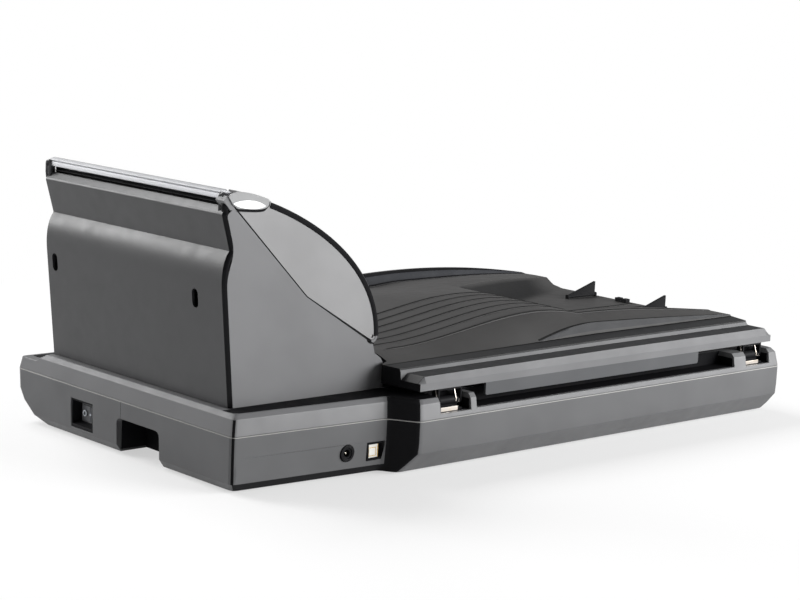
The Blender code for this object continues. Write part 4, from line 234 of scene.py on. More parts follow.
def contact_gold():
    finish = Finish("contact_gold", (0.72, 0.52, 0.22), 0.3, 1.0)
    finish.mottle(finish.noise(0.002, 3), (0.6, 0.42, 0.2))
    finish.gloss(finish.noise(0.0008, 3), 0.08)
    finish.bump(finish.noise(0.0004, 3), 0.00001, 0.4)
    return finish.material


CASING = moulded("charcoal_casing", (0.125, 0.126, 0.13), 0.42, Specular_IOR_Level=0.3)
COVER = moulded("cover_charcoal", (0.024, 0.0245, 0.0265), 0.38, Specular_IOR_Level=0.45)
LID_PAINTED_LIGHT = moulded("lid_painted_light", (0.14, 0.141, 0.145), 0.5, Specular_IOR_Level=0.12)
BASE = moulded("base_charcoal", (0.095, 0.096, 0.099), 0.45, Specular_IOR_Level=0.22)
CHEEK = moulded("door_grey", (0.2, 0.2, 0.203), 0.42, Specular_IOR_Level=0.35)
# The tray takes painted shade on its well's front wall, in the shaded colour, through its shade attribute.
TRAY = moulded("tray_charcoal", (0.044, 0.0432, 0.043), 0.5, shaded=(0.009, 0.009, 0.0095), Specular_IOR_Level=0.2)
DARK = moulded("black_moulding_and_painted_shade", (0.01, 0.01, 0.011), 0.5, Specular_IOR_Level=0.05)
# Dark joints, and painted shade in slots, gaps and hollows.
SHADE = moulded("dark_joint_and_painted_shade", (0.004, 0.004, 0.005), 0.7, Specular_IOR_Level=0.08)
SOCKET_WHITE = moulded("socket_white", (0.74, 0.73, 0.69), 0.4)
LENS_PAINTED_REFLECTION = moulded("latch_lens_painted_reflection", (0.86, 0.87, 0.88), 0.25)
MARK = moulded("switch_print", (0.62, 0.66, 0.7), 0.5)
GLOSS = moulded("gloss_black", (0.006, 0.006, 0.007), 0.3, Specular_IOR_Level=0.1)
SKIRT = moulded("skirt_charcoal", (0.066, 0.068, 0.072), 0.5, Specular_IOR_Level=0.2)
TERRACE = moulded("terrace_grey_and_painted_step_shade", (0.018, 0.0184, 0.0195), 0.5, Specular_IOR_Level=0.15)
FLANK = moulded("flank_grey", (0.021, 0.022, 0.0245), 0.45, Specular_IOR_Level=0.2)
LOOP = moulded("loop_grey", (0.06, 0.06, 0.063), 0.25, Specular_IOR_Level=0.5)
ROCKER = moulded("rocker_grey", (0.085, 0.088, 0.094), 0.35)
RIM = moulded("rim_charcoal", (0.03, 0.0315, 0.036), 0.7, Specular_IOR_Level=0.15)
LINE_SHADOW = moulded("painted_line_shadow", (0.006, 0.006, 0.0062), 0.6, Specular_IOR_Level=0.1)
SILL_PAINTED_LIGHT = moulded("sill_painted_light", (0.7, 0.7, 0.7), 0.5)
SEAM_HIGHLIGHT = moulded("seam_painted_highlight", (0.3, 0.296, 0.286), 0.45)
PEARL = moulded("pearl_silver", (0.68, 0.685, 0.71), 0.45, 0.03, Specular_IOR_Level=0.3)
LATCH = moulded("latch_silver", (0.24, 0.243, 0.245), 0.38, Specular_IOR_Level=0.3)
BAR = moulded("hinge_bar", (0.6, 0.55, 0.5), 0.32)
STEEL = plated("hinge_steel", (0.5, 0.46, 0.42), 0.36, (0.05, 1, 1))
BRIGHT = plated("roller_steel", (0.7, 0.69, 0.66), 0.22, (1, 0.05, 1))
SHEET = plated("frame_sheet", (0.62, 0.62, 0.6), 0.34, (0.08, 1, 1))
SILVER, RUBBER, FOAM, GLASS = silver_paint(), rubber(), foam(), clear_glass()
BOARD, GOLD = circuit_green(), contact_gold()


# Helpers for pieces

node_body = {node: body for body, members in frame["record"]["behaviour"]["bodies"].items() for node in members}


def piece(name, bm, finish, body, replaced=(), sharp=32, edge=0.0, segments=2):
    """A finished mesh with crisp edges kept, riding on its body."""
    mesh = bpy.data.meshes.new(name)
    bm.to_mesh(mesh)
    bm.free()
    mesh.shade_smooth()
    mesh.set_sharp_from_angle(angle=sharp * DEG)
    for each in finish if isinstance(finish, tuple) else (finish,):
        mesh.materials.append(each)
    obj = bpy.data.objects.new(name, mesh)
    bpy.context.scene.collection.objects.link(obj)
    if edge:
        bevel = obj.modifiers.new("edge", "BEVEL")
        bevel.width, bevel.segments = edge, segments
        bevel.limit_method, bevel.angle_limit = "ANGLE", 30 * DEG
        bevel.harden_normals = True
    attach(obj, body)
    if replaced:
        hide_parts(*replaced)
    return obj


def painted(bm, index, chosen):
    """Gives the faces that the test picks the finish of that number."""
    bm.normal_update()
    for face in bm.faces:
        if chosen(face.calc_center_median(), face.normal):
            face.material_index = index
    return bm


def cleaned(bm, gap):
    """Corners closer than the gap joined and flat faces made whole."""
    bmesh.ops.remove_doubles(bm, verts=bm.verts, dist=gap)
    bmesh.ops.dissolve_limit(bm, angle_limit=0.6 * DEG, verts=bm.verts, edges=bm.edges)
    return bm


def merged(node):
    """The CAD node's mesh with its loose triangles joined."""
    bm = bmesh.new()
    bm.from_mesh(frame["nodes"][node].data)
    return cleaned(bm, 0.00001)


def dressed(node, finish, edge, second=None, chosen=None, cut=None):
    """The CAD node's shape, its edges rounded over, with a cut taken out of it and some faces in a second finish."""
    bm = cleaned(carved(merged(node), cut), 0.0001) if cut else merged(node)
    for face in bm.faces:
        face.material_index = 0
    if second:
        painted(bm, 1, chosen)
        finish = (finish, second)
    return piece(f"{node}_moulding", bm, finish, node_body[node], (node,), edge=edge)


def evened(obj):
    """Large faces stay flat and shallow turns between them shade as one curve."""
    obj.modifiers["edge"].harden_normals = False
    weighted = obj.modifiers.new("even", "WEIGHTED_NORMAL")
    weighted.keep_sharp = True
    weighted.mode = "FACE_AREA_WITH_ANGLE"


def finished(finish, *nodes):
    """CAD nodes whose shape stays, with a better material."""
    for node in nodes:
        obj = frame["nodes"][node]
        obj.data.materials.clear()
        obj.data.materials.append(finish)


# Shapes in the drawing's own millimetres, put in place at the end

def placed(bm):
    """The drawing's millimetres become metres, standing on the feet."""
    bmesh.ops.transform(bm, matrix=Matrix.Translation((0, 0, LIFT)) @ Matrix.Scale(MM, 4), verts=bm.verts)
    return bm


def closed(bm):
    """The mesh with its open ends filled and its faces turned outward."""
    edges = [edge for edge in bm.edges if edge.is_boundary]
    if edges:
        bmesh.ops.holes_fill(bm, edges=edges, sides=0)
    bmesh.ops.recalc_face_normals(bm, faces=bm.faces)
    return bm


def prism(outline, axis, low, high):
    """A plate of one outline between two planes across X, Y or Z."""
    bm = bmesh.new()
    spot = {"X": lambda a, b: (low, a, b), "Y": lambda a, b: (a, low, b), "Z": lambda a, b: (a, b, low)}[axis]
    bm.faces.new([bm.verts.new(spot(a, b)) for a, b in outline])
    grown = bmesh.ops.extrude_face_region(bm, geom=bm.faces[:])["geom"]
    shift = [high - low if axis == name else 0 for name in "XYZ"]
    bmesh.ops.translate(bm, vec=shift, verts=[item for item in grown if isinstance(item, bmesh.types.BMVert)])
    return closed(bm)


def block(low, high):
    """A box from its low corner to its high one."""
    bm = bmesh.new()
    size, centre = [b - a for a, b in zip(low, high)], [(a + b) / 2 for a, b in zip(low, high)]
    bmesh.ops.create_cube(bm, size=1, matrix=Matrix.Translation(centre) @ Matrix.Diagonal((*size, 1)))
    return bm


def blocks(*corners):
    """Several boxes in one mesh, each from its low corner to its high one."""
    return gathered(*(block(low, high) for low, high in corners))


def pin(centre, axis, length, radius, top=None, segments=32):
    """A round pin or cone from its centre, along X, Y or Z."""
    bm = bmesh.new()
    turn = {"X": Matrix.Rotation(90 * DEG, 4, "Y"), "Y": Matrix.Rotation(-90 * DEG, 4, "X"), "Z": Matrix()}[axis]
    bmesh.ops.create_cone(bm, cap_ends=True, segments=segments, radius1=radius, radius2=radius if top is None else top,
                          depth=length, matrix=Matrix.Translation(centre) @ turn)
    return bm


def gathered(*parts):
    """Several closed shapes in one mesh."""
    whole = bmesh.new()
    for part in parts:
        mesh = bpy.data.meshes.new("part")
        part.to_mesh(mesh)
        part.free()
        whole.from_mesh(mesh)
        bpy.data.meshes.remove(mesh)
    return whole


def headings(path):
    """The direction of a flat path at each of its points."""
    ends = [(path[max(i - 1, 0)], path[min(i + 1, len(path) - 1)]) for i in range(len(path))]
    return [Vector((after[0] - before[0], after[1] - before[1])).normalized() for before, after in ends]


def in_order(bm):
    """A grid's corners, column by column and each column from its low end up."""
    return sorted(bm.verts, key=lambda v: (round(v.co.x, 4), v.co.y))


def lofted(path, section, spot):
    """A closed section carried along a path, with the spot that a call gives for each pair of their points."""
    bm = bmesh.new()
    bmesh.ops.create_grid(bm, x_segments=len(path) - 1, y_segments=len(section), size=1)
    corners = iter(in_order(bm))
    for point, along in zip(path, headings(path)):
        for out, aside in (*section, section[0]):
            next(corners).co = spot(point, along, out, aside)
    bmesh.ops.remove_doubles(bm, verts=bm.verts, dist=0.0001)
    return closed(bm)


def swept(path, section):
    """A closed section of (out, aside) points carried along a path of (x, z) points in the side view."""
    return lofted(path, section, lambda point, along, out, aside: (
        point[0] + along.y * out, aside, point[1] - along.x * out))


def rounded(points, radius, steps=6):
    """The outline with each of its corners turned to an arc."""
    made = []
    count = len(points)
    for i, point in enumerate(points):
        here, back_to, on_to = Vector(point), Vector(points[i - 1]), Vector(points[(i + 1) % count])
        one, two = (back_to - here).normalized(), (on_to - here).normalized()
        half = one.angle(two) / 2
        reach = min(radius / math.tan(half), (back_to - here).length * 0.49, (on_to - here).length * 0.49)
        start, end = here + one * reach, here + two * reach
        for k in range(steps + 1):
            t = k / steps
            made.append(tuple((1 - t) ** 2 * start + 2 * t * (1 - t) * here + t * t * end))
    return made


def curve(start, lead, trail, end, steps):
    """Points along a curve that leaves its start toward one point and comes to its end from another."""
    start, lead, trail, end = map(Vector, (start, lead, trail, end))
    return [
        tuple((1 - t) ** 3 * start + 3 * (1 - t) ** 2 * t * lead + 3 * (1 - t) * t * t * trail + t ** 3 * end)
        for t in (i / steps for i in range(steps + 1))
    ]


def ring_of(centre, radius, turns=(0, 360), steps=24):
    """Points round a circle, or along a part of it with both its ends."""
    angles = [blend(*turns, i / steps) * DEG for i in range(steps + (abs(turns[1] - turns[0]) < 360))]
    return [(centre[0] + radius * math.cos(a), centre[1] + radius * math.sin(a)) for a in angles]


def carved(bm, *tools):
    """The shape with each tool's room taken out of it."""
    made = []
    for part in (bm, *tools):
        mesh = bpy.data.meshes.new("carving")
        part.to_mesh(mesh)
        part.free()
        obj = bpy.data.objects.new("carving", mesh)
        bpy.context.scene.collection.objects.link(obj)
        made.append(obj)
    for tool in made[1:]:
        boolean = made[0].modifiers.new("carve", "BOOLEAN")
        boolean.object, boolean.operation, boolean.solver = tool, "DIFFERENCE", "EXACT"
    result = bmesh.new()
    result.from_object(made[0], bpy.context.evaluated_depsgraph_get())
    for obj in made:
        mesh = obj.data
        bpy.data.objects.remove(obj)
        bpy.data.meshes.remove(mesh)
    return result


# Lid: its top is the output tray, with seven slim ribs and a lens-shaped flank at the rear

FAR_END, FAR_EDGE, NEAR_EDGE, NEAR_END = -286.7, -277.9, 133.7, 140.4
FRONT, RIM_FRONT, RIM_REAR, RIM_INSIDE = -154.6, -151.5, -148.3, -145.3
CROWN_REAR, STEP_REAR, EDGE_REAR, REAR = 115.4, 132.4, 152.1, 154.6
LID_FOOT, EDGE_FOOT, WELL_FLOOR = 63, 68.7, 73.3
HUMP_PEAK, RIM_PEAK, FLANK_START = -45, -110, -30
WELL_START, WELL_LENGTH, WELL_REAR, WALL_RUN = -98, 179.9, 85, 20
RIB_COUNT, RIB_FIRST, RIB_PITCH = 7, 0.5, 15.5
LID_WALL, LID_ROOF = 4.6, 2.3
ON_TRAY, ON_SHADOW_LINE, ON_FLANK, ON_SHADED_END, ON_LIT_EDGE, ON_TERRACE = range(6)


def clamped(t):
    """The share kept between 0 and 1."""
    return min(max(t, 0.0), 1.0)


def eased(t):
    """The share with a soft start and a soft end."""
    t = clamped(t)
    return t * t * (3 - 2 * t)


def levelled(t):
    """The share with a brisk start that levels out."""
    return math.sin(90 * DEG * clamped(t))


def blend(a, b, t):
    """From a to b by a share."""
    return a + (b - a) * t


def down_the_well(x):
    """How far x lies from the well's start to the tray's far end, from 0 to 1."""
    return clamped((WELL_START - x) / WELL_LENGTH)


def hump_line(x):
    """The height of the arched top along the tray's length."""
    if x > HUMP_PEAK:
        return blend(83.8, 101, eased((112 - x) / 157))
    if x > WELL_START:
        return blend(101, 94.5, ((HUMP_PEAK - x) / 53) ** 2)
    return blend(81.5, 94.5, math.cos(90 * DEG * down_the_well(x)))


def rim_line(x):
    """The height of the raised front rim."""
    if x > RIM_PEAK:
        return blend(95.7, 83.8, eased((x - RIM_PEAK) / 250.4))
    return blend(95.7, 81.5, clamped((RIM_PEAK - x) / 167.9) ** 2)


def foot_line(x):
    """Where the crown meets the inside of the front rim."""
    return min(82 + 3 * eased((-60 - x) / 50) - 4 * clamped((-165 - x) / 113) ** 2, rim_line(x))


def flank_depth(x):
    """How far in from the terrace the sloping flank meets the crown."""
    if x > FLANK_START:
        return 0.0
    if x > WELL_START:
        return 5 * levelled((FLANK_START - x) / 68)
    return blend(5, 1, down_the_well(x) ** 1.2)


def terrace_share(x):
    """How far x lies from the near end to where the terraces run level, from 0 to 1."""
    return clamped((NEAR_END - x) / 240)


def terrace_low(x):
    """The height of the lower rear terrace."""
    return 75 - 1.4 * (1 - terrace_share(x))


def terrace_high(x, y):
    """The height of the upper rear terrace, which rises a little toward the crown."""
    along = terrace_share(x)
    return 79 - 1.8 * (1 - along) + 1.4 * along * (STEP_REAR - y) / 17


def crown(x, y):
    """The arched top, which falls to the front rim's foot and to the flank at the rear."""
    inward, depth = max(CROWN_REAR - y, 0.0), flank_depth(x)
    edge = terrace_high(x, CROWN_REAR) + 1.7 * min(inward, depth)
    rear = blend(edge, hump_line(x), levelled((inward - depth) / (28 - depth)))
    climb = max(9 * (hump_line(x) - foot_line(x)), 20)
    return min(rear, blend(foot_line(x), hump_line(x), levelled((y - RIM_INSIDE) / climb)))


def well_front(x):
    """Where the front wall of the well begins."""
    return -55 - 61 * down_the_well(x)


def well_share(x, y):
    """How far the top is sunk toward the well's floor, from 0 to 1."""
    along, inward, outward = (WELL_START - x) / 26, (y - well_front(x)) / WALL_RUN, (WELL_REAR - y) / WALL_RUN
    return levelled(along) * levelled(inward) * levelled(outward)


def tray_top(x, y):
    """The lid's height: front rim, crown with its well, upper terrace, lower terrace and the sloping edges."""
    low = terrace_low(x)
    if y > STEP_REAR:
        height = max(blend(terrace_high(x, STEP_REAR), low, (y - STEP_REAR) / 2.1), low)
        if y > EDGE_REAR:
            height = blend(low, EDGE_FOOT, (y - EDGE_REAR) / 2.5)
        if x > NEAR_EDGE and y > 134.4:
            height = min(height, blend(low, EDGE_FOOT, (x - NEAR_EDGE) / 6.7))
    elif y > CROWN_REAR + 0.02:
        height = terrace_high(x, y)
    elif y > RIM_INSIDE - 0.02:
        height = blend(crown(x, y), WELL_FLOOR, well_share(x, y))
    elif y > RIM_REAR:
        height = blend(rim_line(x), foot_line(x), (y - RIM_REAR) / 3)
    elif y > RIM_FRONT:
        height = rim_line(x)
    else:
        height = blend(EDGE_FOOT, rim_line(x), (y - FRONT) / 3.1)
    if x < -280:
        return min(height, blend(EDGE_FOOT, low, (x - FAR_END) / 6.7))
    if x < FAR_EDGE:
        return min(height, blend(low, max(height, low), (x + 280) / 2.1))
    return height


def spread(low, high, count):
    """Even steps up to the high end, without the low one."""
    return [blend(low, high, (i + 1) / count) for i in range(count)]


rib_rows = ((-1.7, 0), (-0.9, 0), (-0.7, 0.6), (-0.3, 1.05), (0.1, 1.05), (0.6, 0.5), (0.9, 0))
front_rows = [FRONT, -152, -151.2, -150.6, -149.2, -148.6, -148.0, -147.4, RIM_INSIDE]
terrace_rows = [118, 124, 131.7, STEP_REAR, 133.1, 133.8, 134.5, 135.1, 143, 151.3, 151.7, EDGE_REAR, 152.7, REAR]


def tray_rows(x):
    """The places of the grid's rows at one x, each with the rise that a rib adds and whether a painted shadow line
    follows it.
    """
    wall, flank = well_front(x), max(flank_depth(x), 0.3)
    foot = wall + WALL_RUN
    rows = front_rows + spread(RIM_INSIDE, wall, 12) + spread(wall, foot, 8) + spread(foot, -2.8, 14)
    table = [(row, 0, False) for row in rows]
    for rib in range(RIB_COUNT):
        centre = RIB_FIRST + RIB_PITCH * rib
        end = clamped((127.5 - x) / 15.5) * clamped((x + 276.5) / 4)
        # Painted shadow line over the top of each rib, short of the near end
        table += [(centre + aside, rise * end, k in (3, 4) and x < 118) for k, (aside, rise) in enumerate(rib_rows)]
        between = (5, 7, 10.5) if rib == RIB_COUNT - 2 else (5, 10.5) if rib < RIB_COUNT - 1 else ()
        table += [(centre + aside, 0, False) for aside in between]
    start = CROWN_REAR - flank
    rows = spread(94.8, start - 1.2, 7) + [start] + spread(start, CROWN_REAR, 4)
    # Painted shadow line along the top of the flank
    table += [(row, 0, k == 6 and x < -32) for k, row in enumerate(rows)]
    return table + [(row, 0, False) for row in terrace_rows]


def well_shade(x, y):
    """Painted shade on the front wall of the tray's well, fading out on its floor and towards its far end."""
    wall = well_front(x)
    side = clamped((y - wall - 0.4) / 1.2) * (1 - eased((y - wall - 15) / 16))
    return side * clamped((-99 - x) / 5) * (1 - eased((-225 - x) / 48))


tray_columns = [FAR_END, -280.6, -279.8, -279, -278.2, FAR_EDGE]
tray_columns += spread(FAR_EDGE, -124, 62) + spread(-124, WELL_START, 18) + spread(WELL_START, 131, 92)
tray_columns += [131.35, 131.9, NEAR_EDGE, 134.2, NEAR_END]


def tray_finish(x, y, shadow_lined):
    """Tray grey, painted shadow lines beside ribs and terraces, a cooler flank, a darker grey on the terraces that also
    serves as painted shade on the step's top, the lid's lighter grey as painted light on the rear edge and the rest of
    the step, and a black near end as painted shade.
    """
    # Painted shade: the near end is black.
    if x > 139.9:
        return ON_SHADED_END
    # Painted light: the lid's lighter grey on the rear edge and the lower part of the step.
    if y > 152.4 or 133.1 < y < 134.4:
        return ON_LIT_EDGE
    if y > CROWN_REAR:
        return ON_SHADOW_LINE if y < 118 or 131.7 < y < STEP_REAR or 151.7 < y < EDGE_REAR else ON_TERRACE
    if shadow_lined:
        return ON_SHADOW_LINE
    depth = flank_depth(x)
    return ON_FLANK if x < -31 and CROWN_REAR - depth < y < CROWN_REAR - 0.25 * depth else ON_TRAY


def tray_moulding():
    """The lid's shell: the tray's grid, walls down from its rim and a hollow underside."""
    columns, rows = len(tray_columns), len(tray_rows(0))
    bm = bmesh.new()
    bmesh.ops.create_grid(bm, x_segments=columns - 1, y_segments=rows - 1, size=1)
    shade = bm.verts.layers.float.new("shade")
    order = in_order(bm)
    place, lines = {vert: i for i, vert in enumerate(order)}, []
    for i, x in enumerate(tray_columns):
        for vert, (y, rise, shadow_lined) in zip(order[i * rows:(i + 1) * rows], tray_rows(x)):
            set_back = 3.7 * (y - CROWN_REAR) / 39.2 if y > CROWN_REAR else 7.4 * clamped((112.6 - y) / 0.8)
            vert.co = (x - set_back * clamped((x - 120) / 11.5), y, tray_top(x, y) + rise)
            vert[shade] = well_shade(x, y)
            lines.append(shadow_lined)
    for face in bm.faces:
        corners = [place[vert] for vert in face.verts]
        x = sum(tray_columns[corner // rows] for corner in corners) / 4
        face.material_index = tray_finish(x, face.calc_center_median().y, lines[min(corners)])
    rim = [edge for edge in bm.edges if edge.is_boundary]
    made = bmesh.ops.extrude_edge_only(bm, edges=rim)["geom"]
    for vert in (item for item in made if isinstance(item, bmesh.types.BMVert)):
        vert.co.z = LID_FOOT
    under = bmesh.ops.contextual_create(bm, geom=[edge for edge in bm.edges if edge.is_boundary])["faces"]
    bmesh.ops.inset_region(bm, faces=under, thickness=LID_WALL, use_even_offset=False)
    raised = bmesh.ops.extrude_face_region(bm, geom=under)["geom"]
    bmesh.ops.delete(bm, geom=under, context="FACES")
    roof = [item for item in raised if isinstance(item, bmesh.types.BMVert)]
    bmesh.ops.translate(bm, vec=(0, 0, LID_ROOF), verts=roof)
    bmesh.ops.recalc_face_normals(bm, faces=bm.faces)
    # Painted light: the lid's lighter grey on its low outer walls as well.
    painted(bm, ON_LIT_EDGE, lambda centre, normal: centre.z < 74 and abs(normal.z) < 0.5 and centre.x < 130)
    # Painted shade: black on the near end's faces that face +X.
    return placed(painted(bm, ON_SHADED_END, lambda centre, normal: normal.x > 0.7 and centre.x > 130))


# Base, lid and feeder mouldings

def painted_shade_part(centre, normal):
    """The step beside the sockets and the bevel under them, which take the black finish as painted shade."""
    x, y, z = centre / MM
    step = 139 < x < 158 and y > 132 and normal.x > 0.45 and normal.y > 0.35
    return step or (x > 152 and y > 115 and z < 7 and normal.y > 0.6 and normal.z < -0.4)


notch_bevel = placed(prism([(289.2, -0.1), (293.45, 6.05), (296, 6.05), (296, -0.1)], "Y", -25, 45))
for node, finish, cut in (("base_lower_shell", BASE, notch_bevel), ("base_top_frame", CASING, None)):
    evened(dressed(node, finish, 0.0005, second=DARK, chosen=painted_shade_part, cut=cut))
for finish, slot, edge, nodes in (
        (CASING, "casing", 0.0003, ("adf_rear_panel", "adf_front_panel")),
        (CHEEK, "casing", 0.0003, ("adf_door_cheek_rear", "adf_door_cheek_front")),
        (CASING, "casing", 0.0005, ("adf_door_shell",)),
        (CASING, "casing", 0.0003, ("power_key", "menu_key", "scan_key")),
        # The steel hinge leaves and brackets take the black finish here as painted shade.
        (DARK, "black", 0.0003, (
            "switch_housing", "control_panel", "paper_stop_rear", "paper_stop_front", "tray_clip", "adf_paper_guide",
            "adf_door_guide", "adf_scan_module", "scan_carriage", "hinge_leaf_left", "hinge_leaf_right",
            "hinge_bracket_left", "hinge_bracket_right")),
        (ROCKER, "black", 0.0004, ("power_rocker",))):
    for node in nodes:
        dressed(node, finish, edge)
finished(CASING, "lid_pan")
finished(SHEET, "adf_frame_rear", "adf_frame_front")
finished(BRIGHT, "guide_rod", "carriage_motor", "motor_pulley", "idler_pulley", "hinge_pin_left", "hinge_pin_right",
         "adf_motor", "adf_motor_pulley", "feed_shaft", "adf_door_rod")
finished(RUBBER, "drive_belt", "adf_belt", "foot_front_left", "foot_front_right", "foot_rear_left",
         "foot_rear_right", "feed_tyre", "exit_roller", "upper_feed_roller", "exit_idler")
finished(GLASS, "platen_glass", "carriage_lens_bar")
finished(FOAM, "lid_mat")
finished(BOARD, "main_board")
# The port's metal shell is black here as painted shade.
finished(SHADE, "usb_port")
finished(DARK, "dc_jack")

piece("lid_moulding", tray_moulding(), (TRAY, LINE_SHADOW, FLANK, DARK, LID_PAINTED_LIGHT, TERRACE), "lid", ("lid_shell",),
      sharp=19)
skirt = prism(rounded([(-188.5, 52.7), (67, 52.7), (67, 67.5), (-188.5, 67.5)], 2.2), "Y", 152.2, 154.5)
piece("lid_skirt", placed(skirt), SKIRT, "lid", edge=0.0004)
lugs = []
for y in (39, -50):
    lug = rounded([(y - 2, 71.5), (y + 2, 71.5), (y + 2, 77.2), (y - 2, 77.2)], 1.4, 4)
    lugs += [prism(lug, "X", x, x + 2) for x in (-239.7, -277.3)]
piece("paper_stop_lugs", placed(gathered(*lugs)), DARK, "lid", edge=0.0002)


def rim_strip():
    """The grooved face inside the front rim, a hair proud of the rim's slope, with its grooves drawn as painted shadow
    lines at its top and foot.
    """
    stations = [x for x in tray_columns if -277 < x < 132]
    shares = ((0.98, 0.2), (0.72, 0.25), (0.68, 0.55), (0.4, 0.55), (0.14, 0.45), (0.03, 0.2))
    bm = bmesh.new()
    bmesh.ops.create_grid(bm, x_segments=len(stations) - 1, y_segments=len(shares) - 1, size=1)
    order = in_order(bm)
    place = {vert: i for i, vert in enumerate(order)}
    for i, x in enumerate(stations):
        top, foot = rim_line(x), foot_line(x)
        for k, (share, bulge) in enumerate(shares):
            order[i * len(shares) + k].co = (x, RIM_INSIDE - 3 * share + bulge, blend(foot, top, share))
    for face in bm.faces:
        # Rows 0 and 4 are the painted shadow lines.
        face.material_index = min(place[vert] % len(shares) for vert in face.verts) in (0, 4)
    bmesh.ops.solidify(bm, geom=bm.faces[:], thickness=-0.3)
    return placed(closed(bm))


piece("rim_channel", rim_strip(), (RIM, SHADE), "lid")


# Feeder tower: the curved end cover, the black edge beads, the silver bar and the slot's fittings

cover_line = [(282.5, 57.6), (291.2, 145.5)]
cover_line += curve((291.2, 145.5), (292.2, 157), (290.6, 167.5), (285.5, 173.6), 20)[1:]
cover_line += rounded([(285.5, 173.6), (293.4, 200.8), (288.0, 205.9)], 2.6)[7:14] + [(288.0, 205.9)]
bead_line = cover_line[:-1] + [(293.6, 205.2), (292.6, 210.4), (289.9, 212.6)]


def thickened(path, thickness):
    """The path with its inner side, as one closed outline."""
    inside = [(x - along.y * thickness, z + along.x * thickness) for (x, z), along in zip(path, headings(path))]
    return path + inside[::-1]


def oval(y):
    """The room of one of the upright slots in the end cover."""
    return prism(ring_of((y, 138.2), 3.7, (0, 180), 10) + ring_of((y, 131.2), 3.7, (180, 360), 10), "X", 280, 296)


cover = carved(prism(thickened(cover_line, 2.5), "Y", -125.2, 106.2), oval(-114.5), oval(73.2))
piece("end_cover_moulding", placed(cover), COVER, "base", ("adf_end_cover",), sharp=24, edge=0.0003)

bead_round = [(-3.4 + 3.1 * math.cos(a * DEG), 3.0 * math.sin(a * DEG)) for a in range(-90, 91, 18)]
for name, line, section in (
        ("cover_bead_rear", bead_line, [(out, 105.7 + aside) for out, aside in bead_round]),
        ("cover_bead_front", cover_line, [(out, -124.7 - aside) for out, aside in bead_round])):
    piece(name, placed(swept(line, section)), GLOSS, "base", sharp=60)

# The door's outline from its top edge down to the paper exit, and the place on it where the latch ends
door_curve = curve((282.7, 216.4), (221.1, 203.3), (141.6, 160.3), (141.6, 99.3), 44)
latch_end = next(i for i, (x, _) in enumerate(door_curve) if x < 250.3)
(x_before, z_before), (x_after, z_after) = door_curve[latch_end - 1], door_curve[latch_end]
bead_start = (250.4, blend(z_before, z_after, (x_before - 250.4) / (x_before - x_after)))
rim_section = [(0.25, 106.9), (0.25, 109.0), (-0.15, 109.55), (-3.7, 109.55), (-4.1, 109.1), (-4.1, 108.6)]
for name, line, section in (
        ("door_bead_rear", [bead_start] + door_curve[latch_end:], rim_section),
        ("door_bead_front", door_curve, [(out, -19 - y) for out, y in rim_section])):
    piece(name, placed(swept(line, section)), GLOSS, "door", sharp=50)

bar_top = [(283.2, 216.9), (284.2, 217.5), (285.6, 217.35), (288.4, 216.5), (289.2, 215.5), (288.8, 214.9),
           (283.2, 214.9)]
bar_low = [(284.2, 215.0), (288.2, 214.8), (289.3, 213.9), (289.3, 211.4), (287.6, 210.5), (284.2, 210.6)]
piece("silver_bar_ridge", placed(prism(rounded(bar_top, 0.5, 3), "Y", -126.3, 98.3)), SILVER, "door",
      ("adf_silver_trim",), sharp=40)
piece("silver_bar_band", placed(prism(rounded(bar_low, 0.8, 4), "Y", -125.6, 97.6)), PEARL, "door", sharp=40)
link = prism([(98.2, 216.9), (98.2, 211.2), (100.0, 209.6), (104.6, 214.6), (106.4, 216.2)], "X", 284.4, 288.6)
piece("silver_bar_link", placed(link), PEARL, "door", edge=0.0005)
# Painted shade: a black block behind the feed slot.
piece("feed_slot_painted_shade", placed(block((283.0, -124.6, 203.5), (284.0, 98.6, 215.0))), SHADE, "base", edge=0.0003)
wiper = prism([(284.0, 206.4), (287.4, 207.6), (287.5, 208.1), (284.0, 207.2)], "Y", -124.4, 98.4)
piece("slot_wiper", placed(wiper), GLOSS, "base", edge=0.0001)


def slot_loop(y, lean):
    """The narrow hook that closes the feed slot at one end."""
    path = [(y - lean * 2.1, 202.0), (y - lean * 2.1, 212.4)]
    path += [(y + lean * 2.1 * math.sin(a * DEG), 212.4 + 2.4 * math.cos(a * DEG)) for a in range(-75, 91, 15)]
    path += [(y + lean * 2.1, 206.0), (y + lean * 1.2, 201.4)]
    return placed(lofted(path, ring_of((0, 0), 1.15, steps=10), lambda point, along, out, aside: (
        289.6 + out * 1.9, point[0] + along.y * aside, point[1] - along.x * aside)))


for name, y, lean in (("slot_loop_rear", 102.0, 1), ("slot_loop_front", -126.0, -1)):
    piece(name, slot_loop(y, lean), LOOP, "base", sharp=50)


# Release latch: a grey arch over a finger lens painted white as a bright reflection, with its shadow gap

latch_top = [(282.6, 217.5)] + [(x, z + 1.1) for x, z in door_curve[1:] if x > 251] + [(250.6, 208.4)]
latch_low = curve((250.6, 208.2), (256, 204.6), (268, 202.6), (279.8, 209.4), 12)
latch_shape = latch_top + latch_low + [(282.6, 212.2)]
piece("latch_arch", placed(prism(latch_shape, "Y", 99.7, 109.1)), LATCH, "latch", ("release_latch",),
      edge=0.0005, segments=3)
face_top = curve((290.2, 213.4), (287.5, 219.4), (270, 216.4), (253.6, 210.2), 14)
face_low = curve((252.9, 208.4), (252.8, 201.2), (262, 202.6), (281.6, 204.4), 14) + [(286.0, 207.4)]
piece("latch_face", placed(prism(face_top + face_low, "Y", 109.1, 110.1)), LATCH, "latch", edge=0.0003)
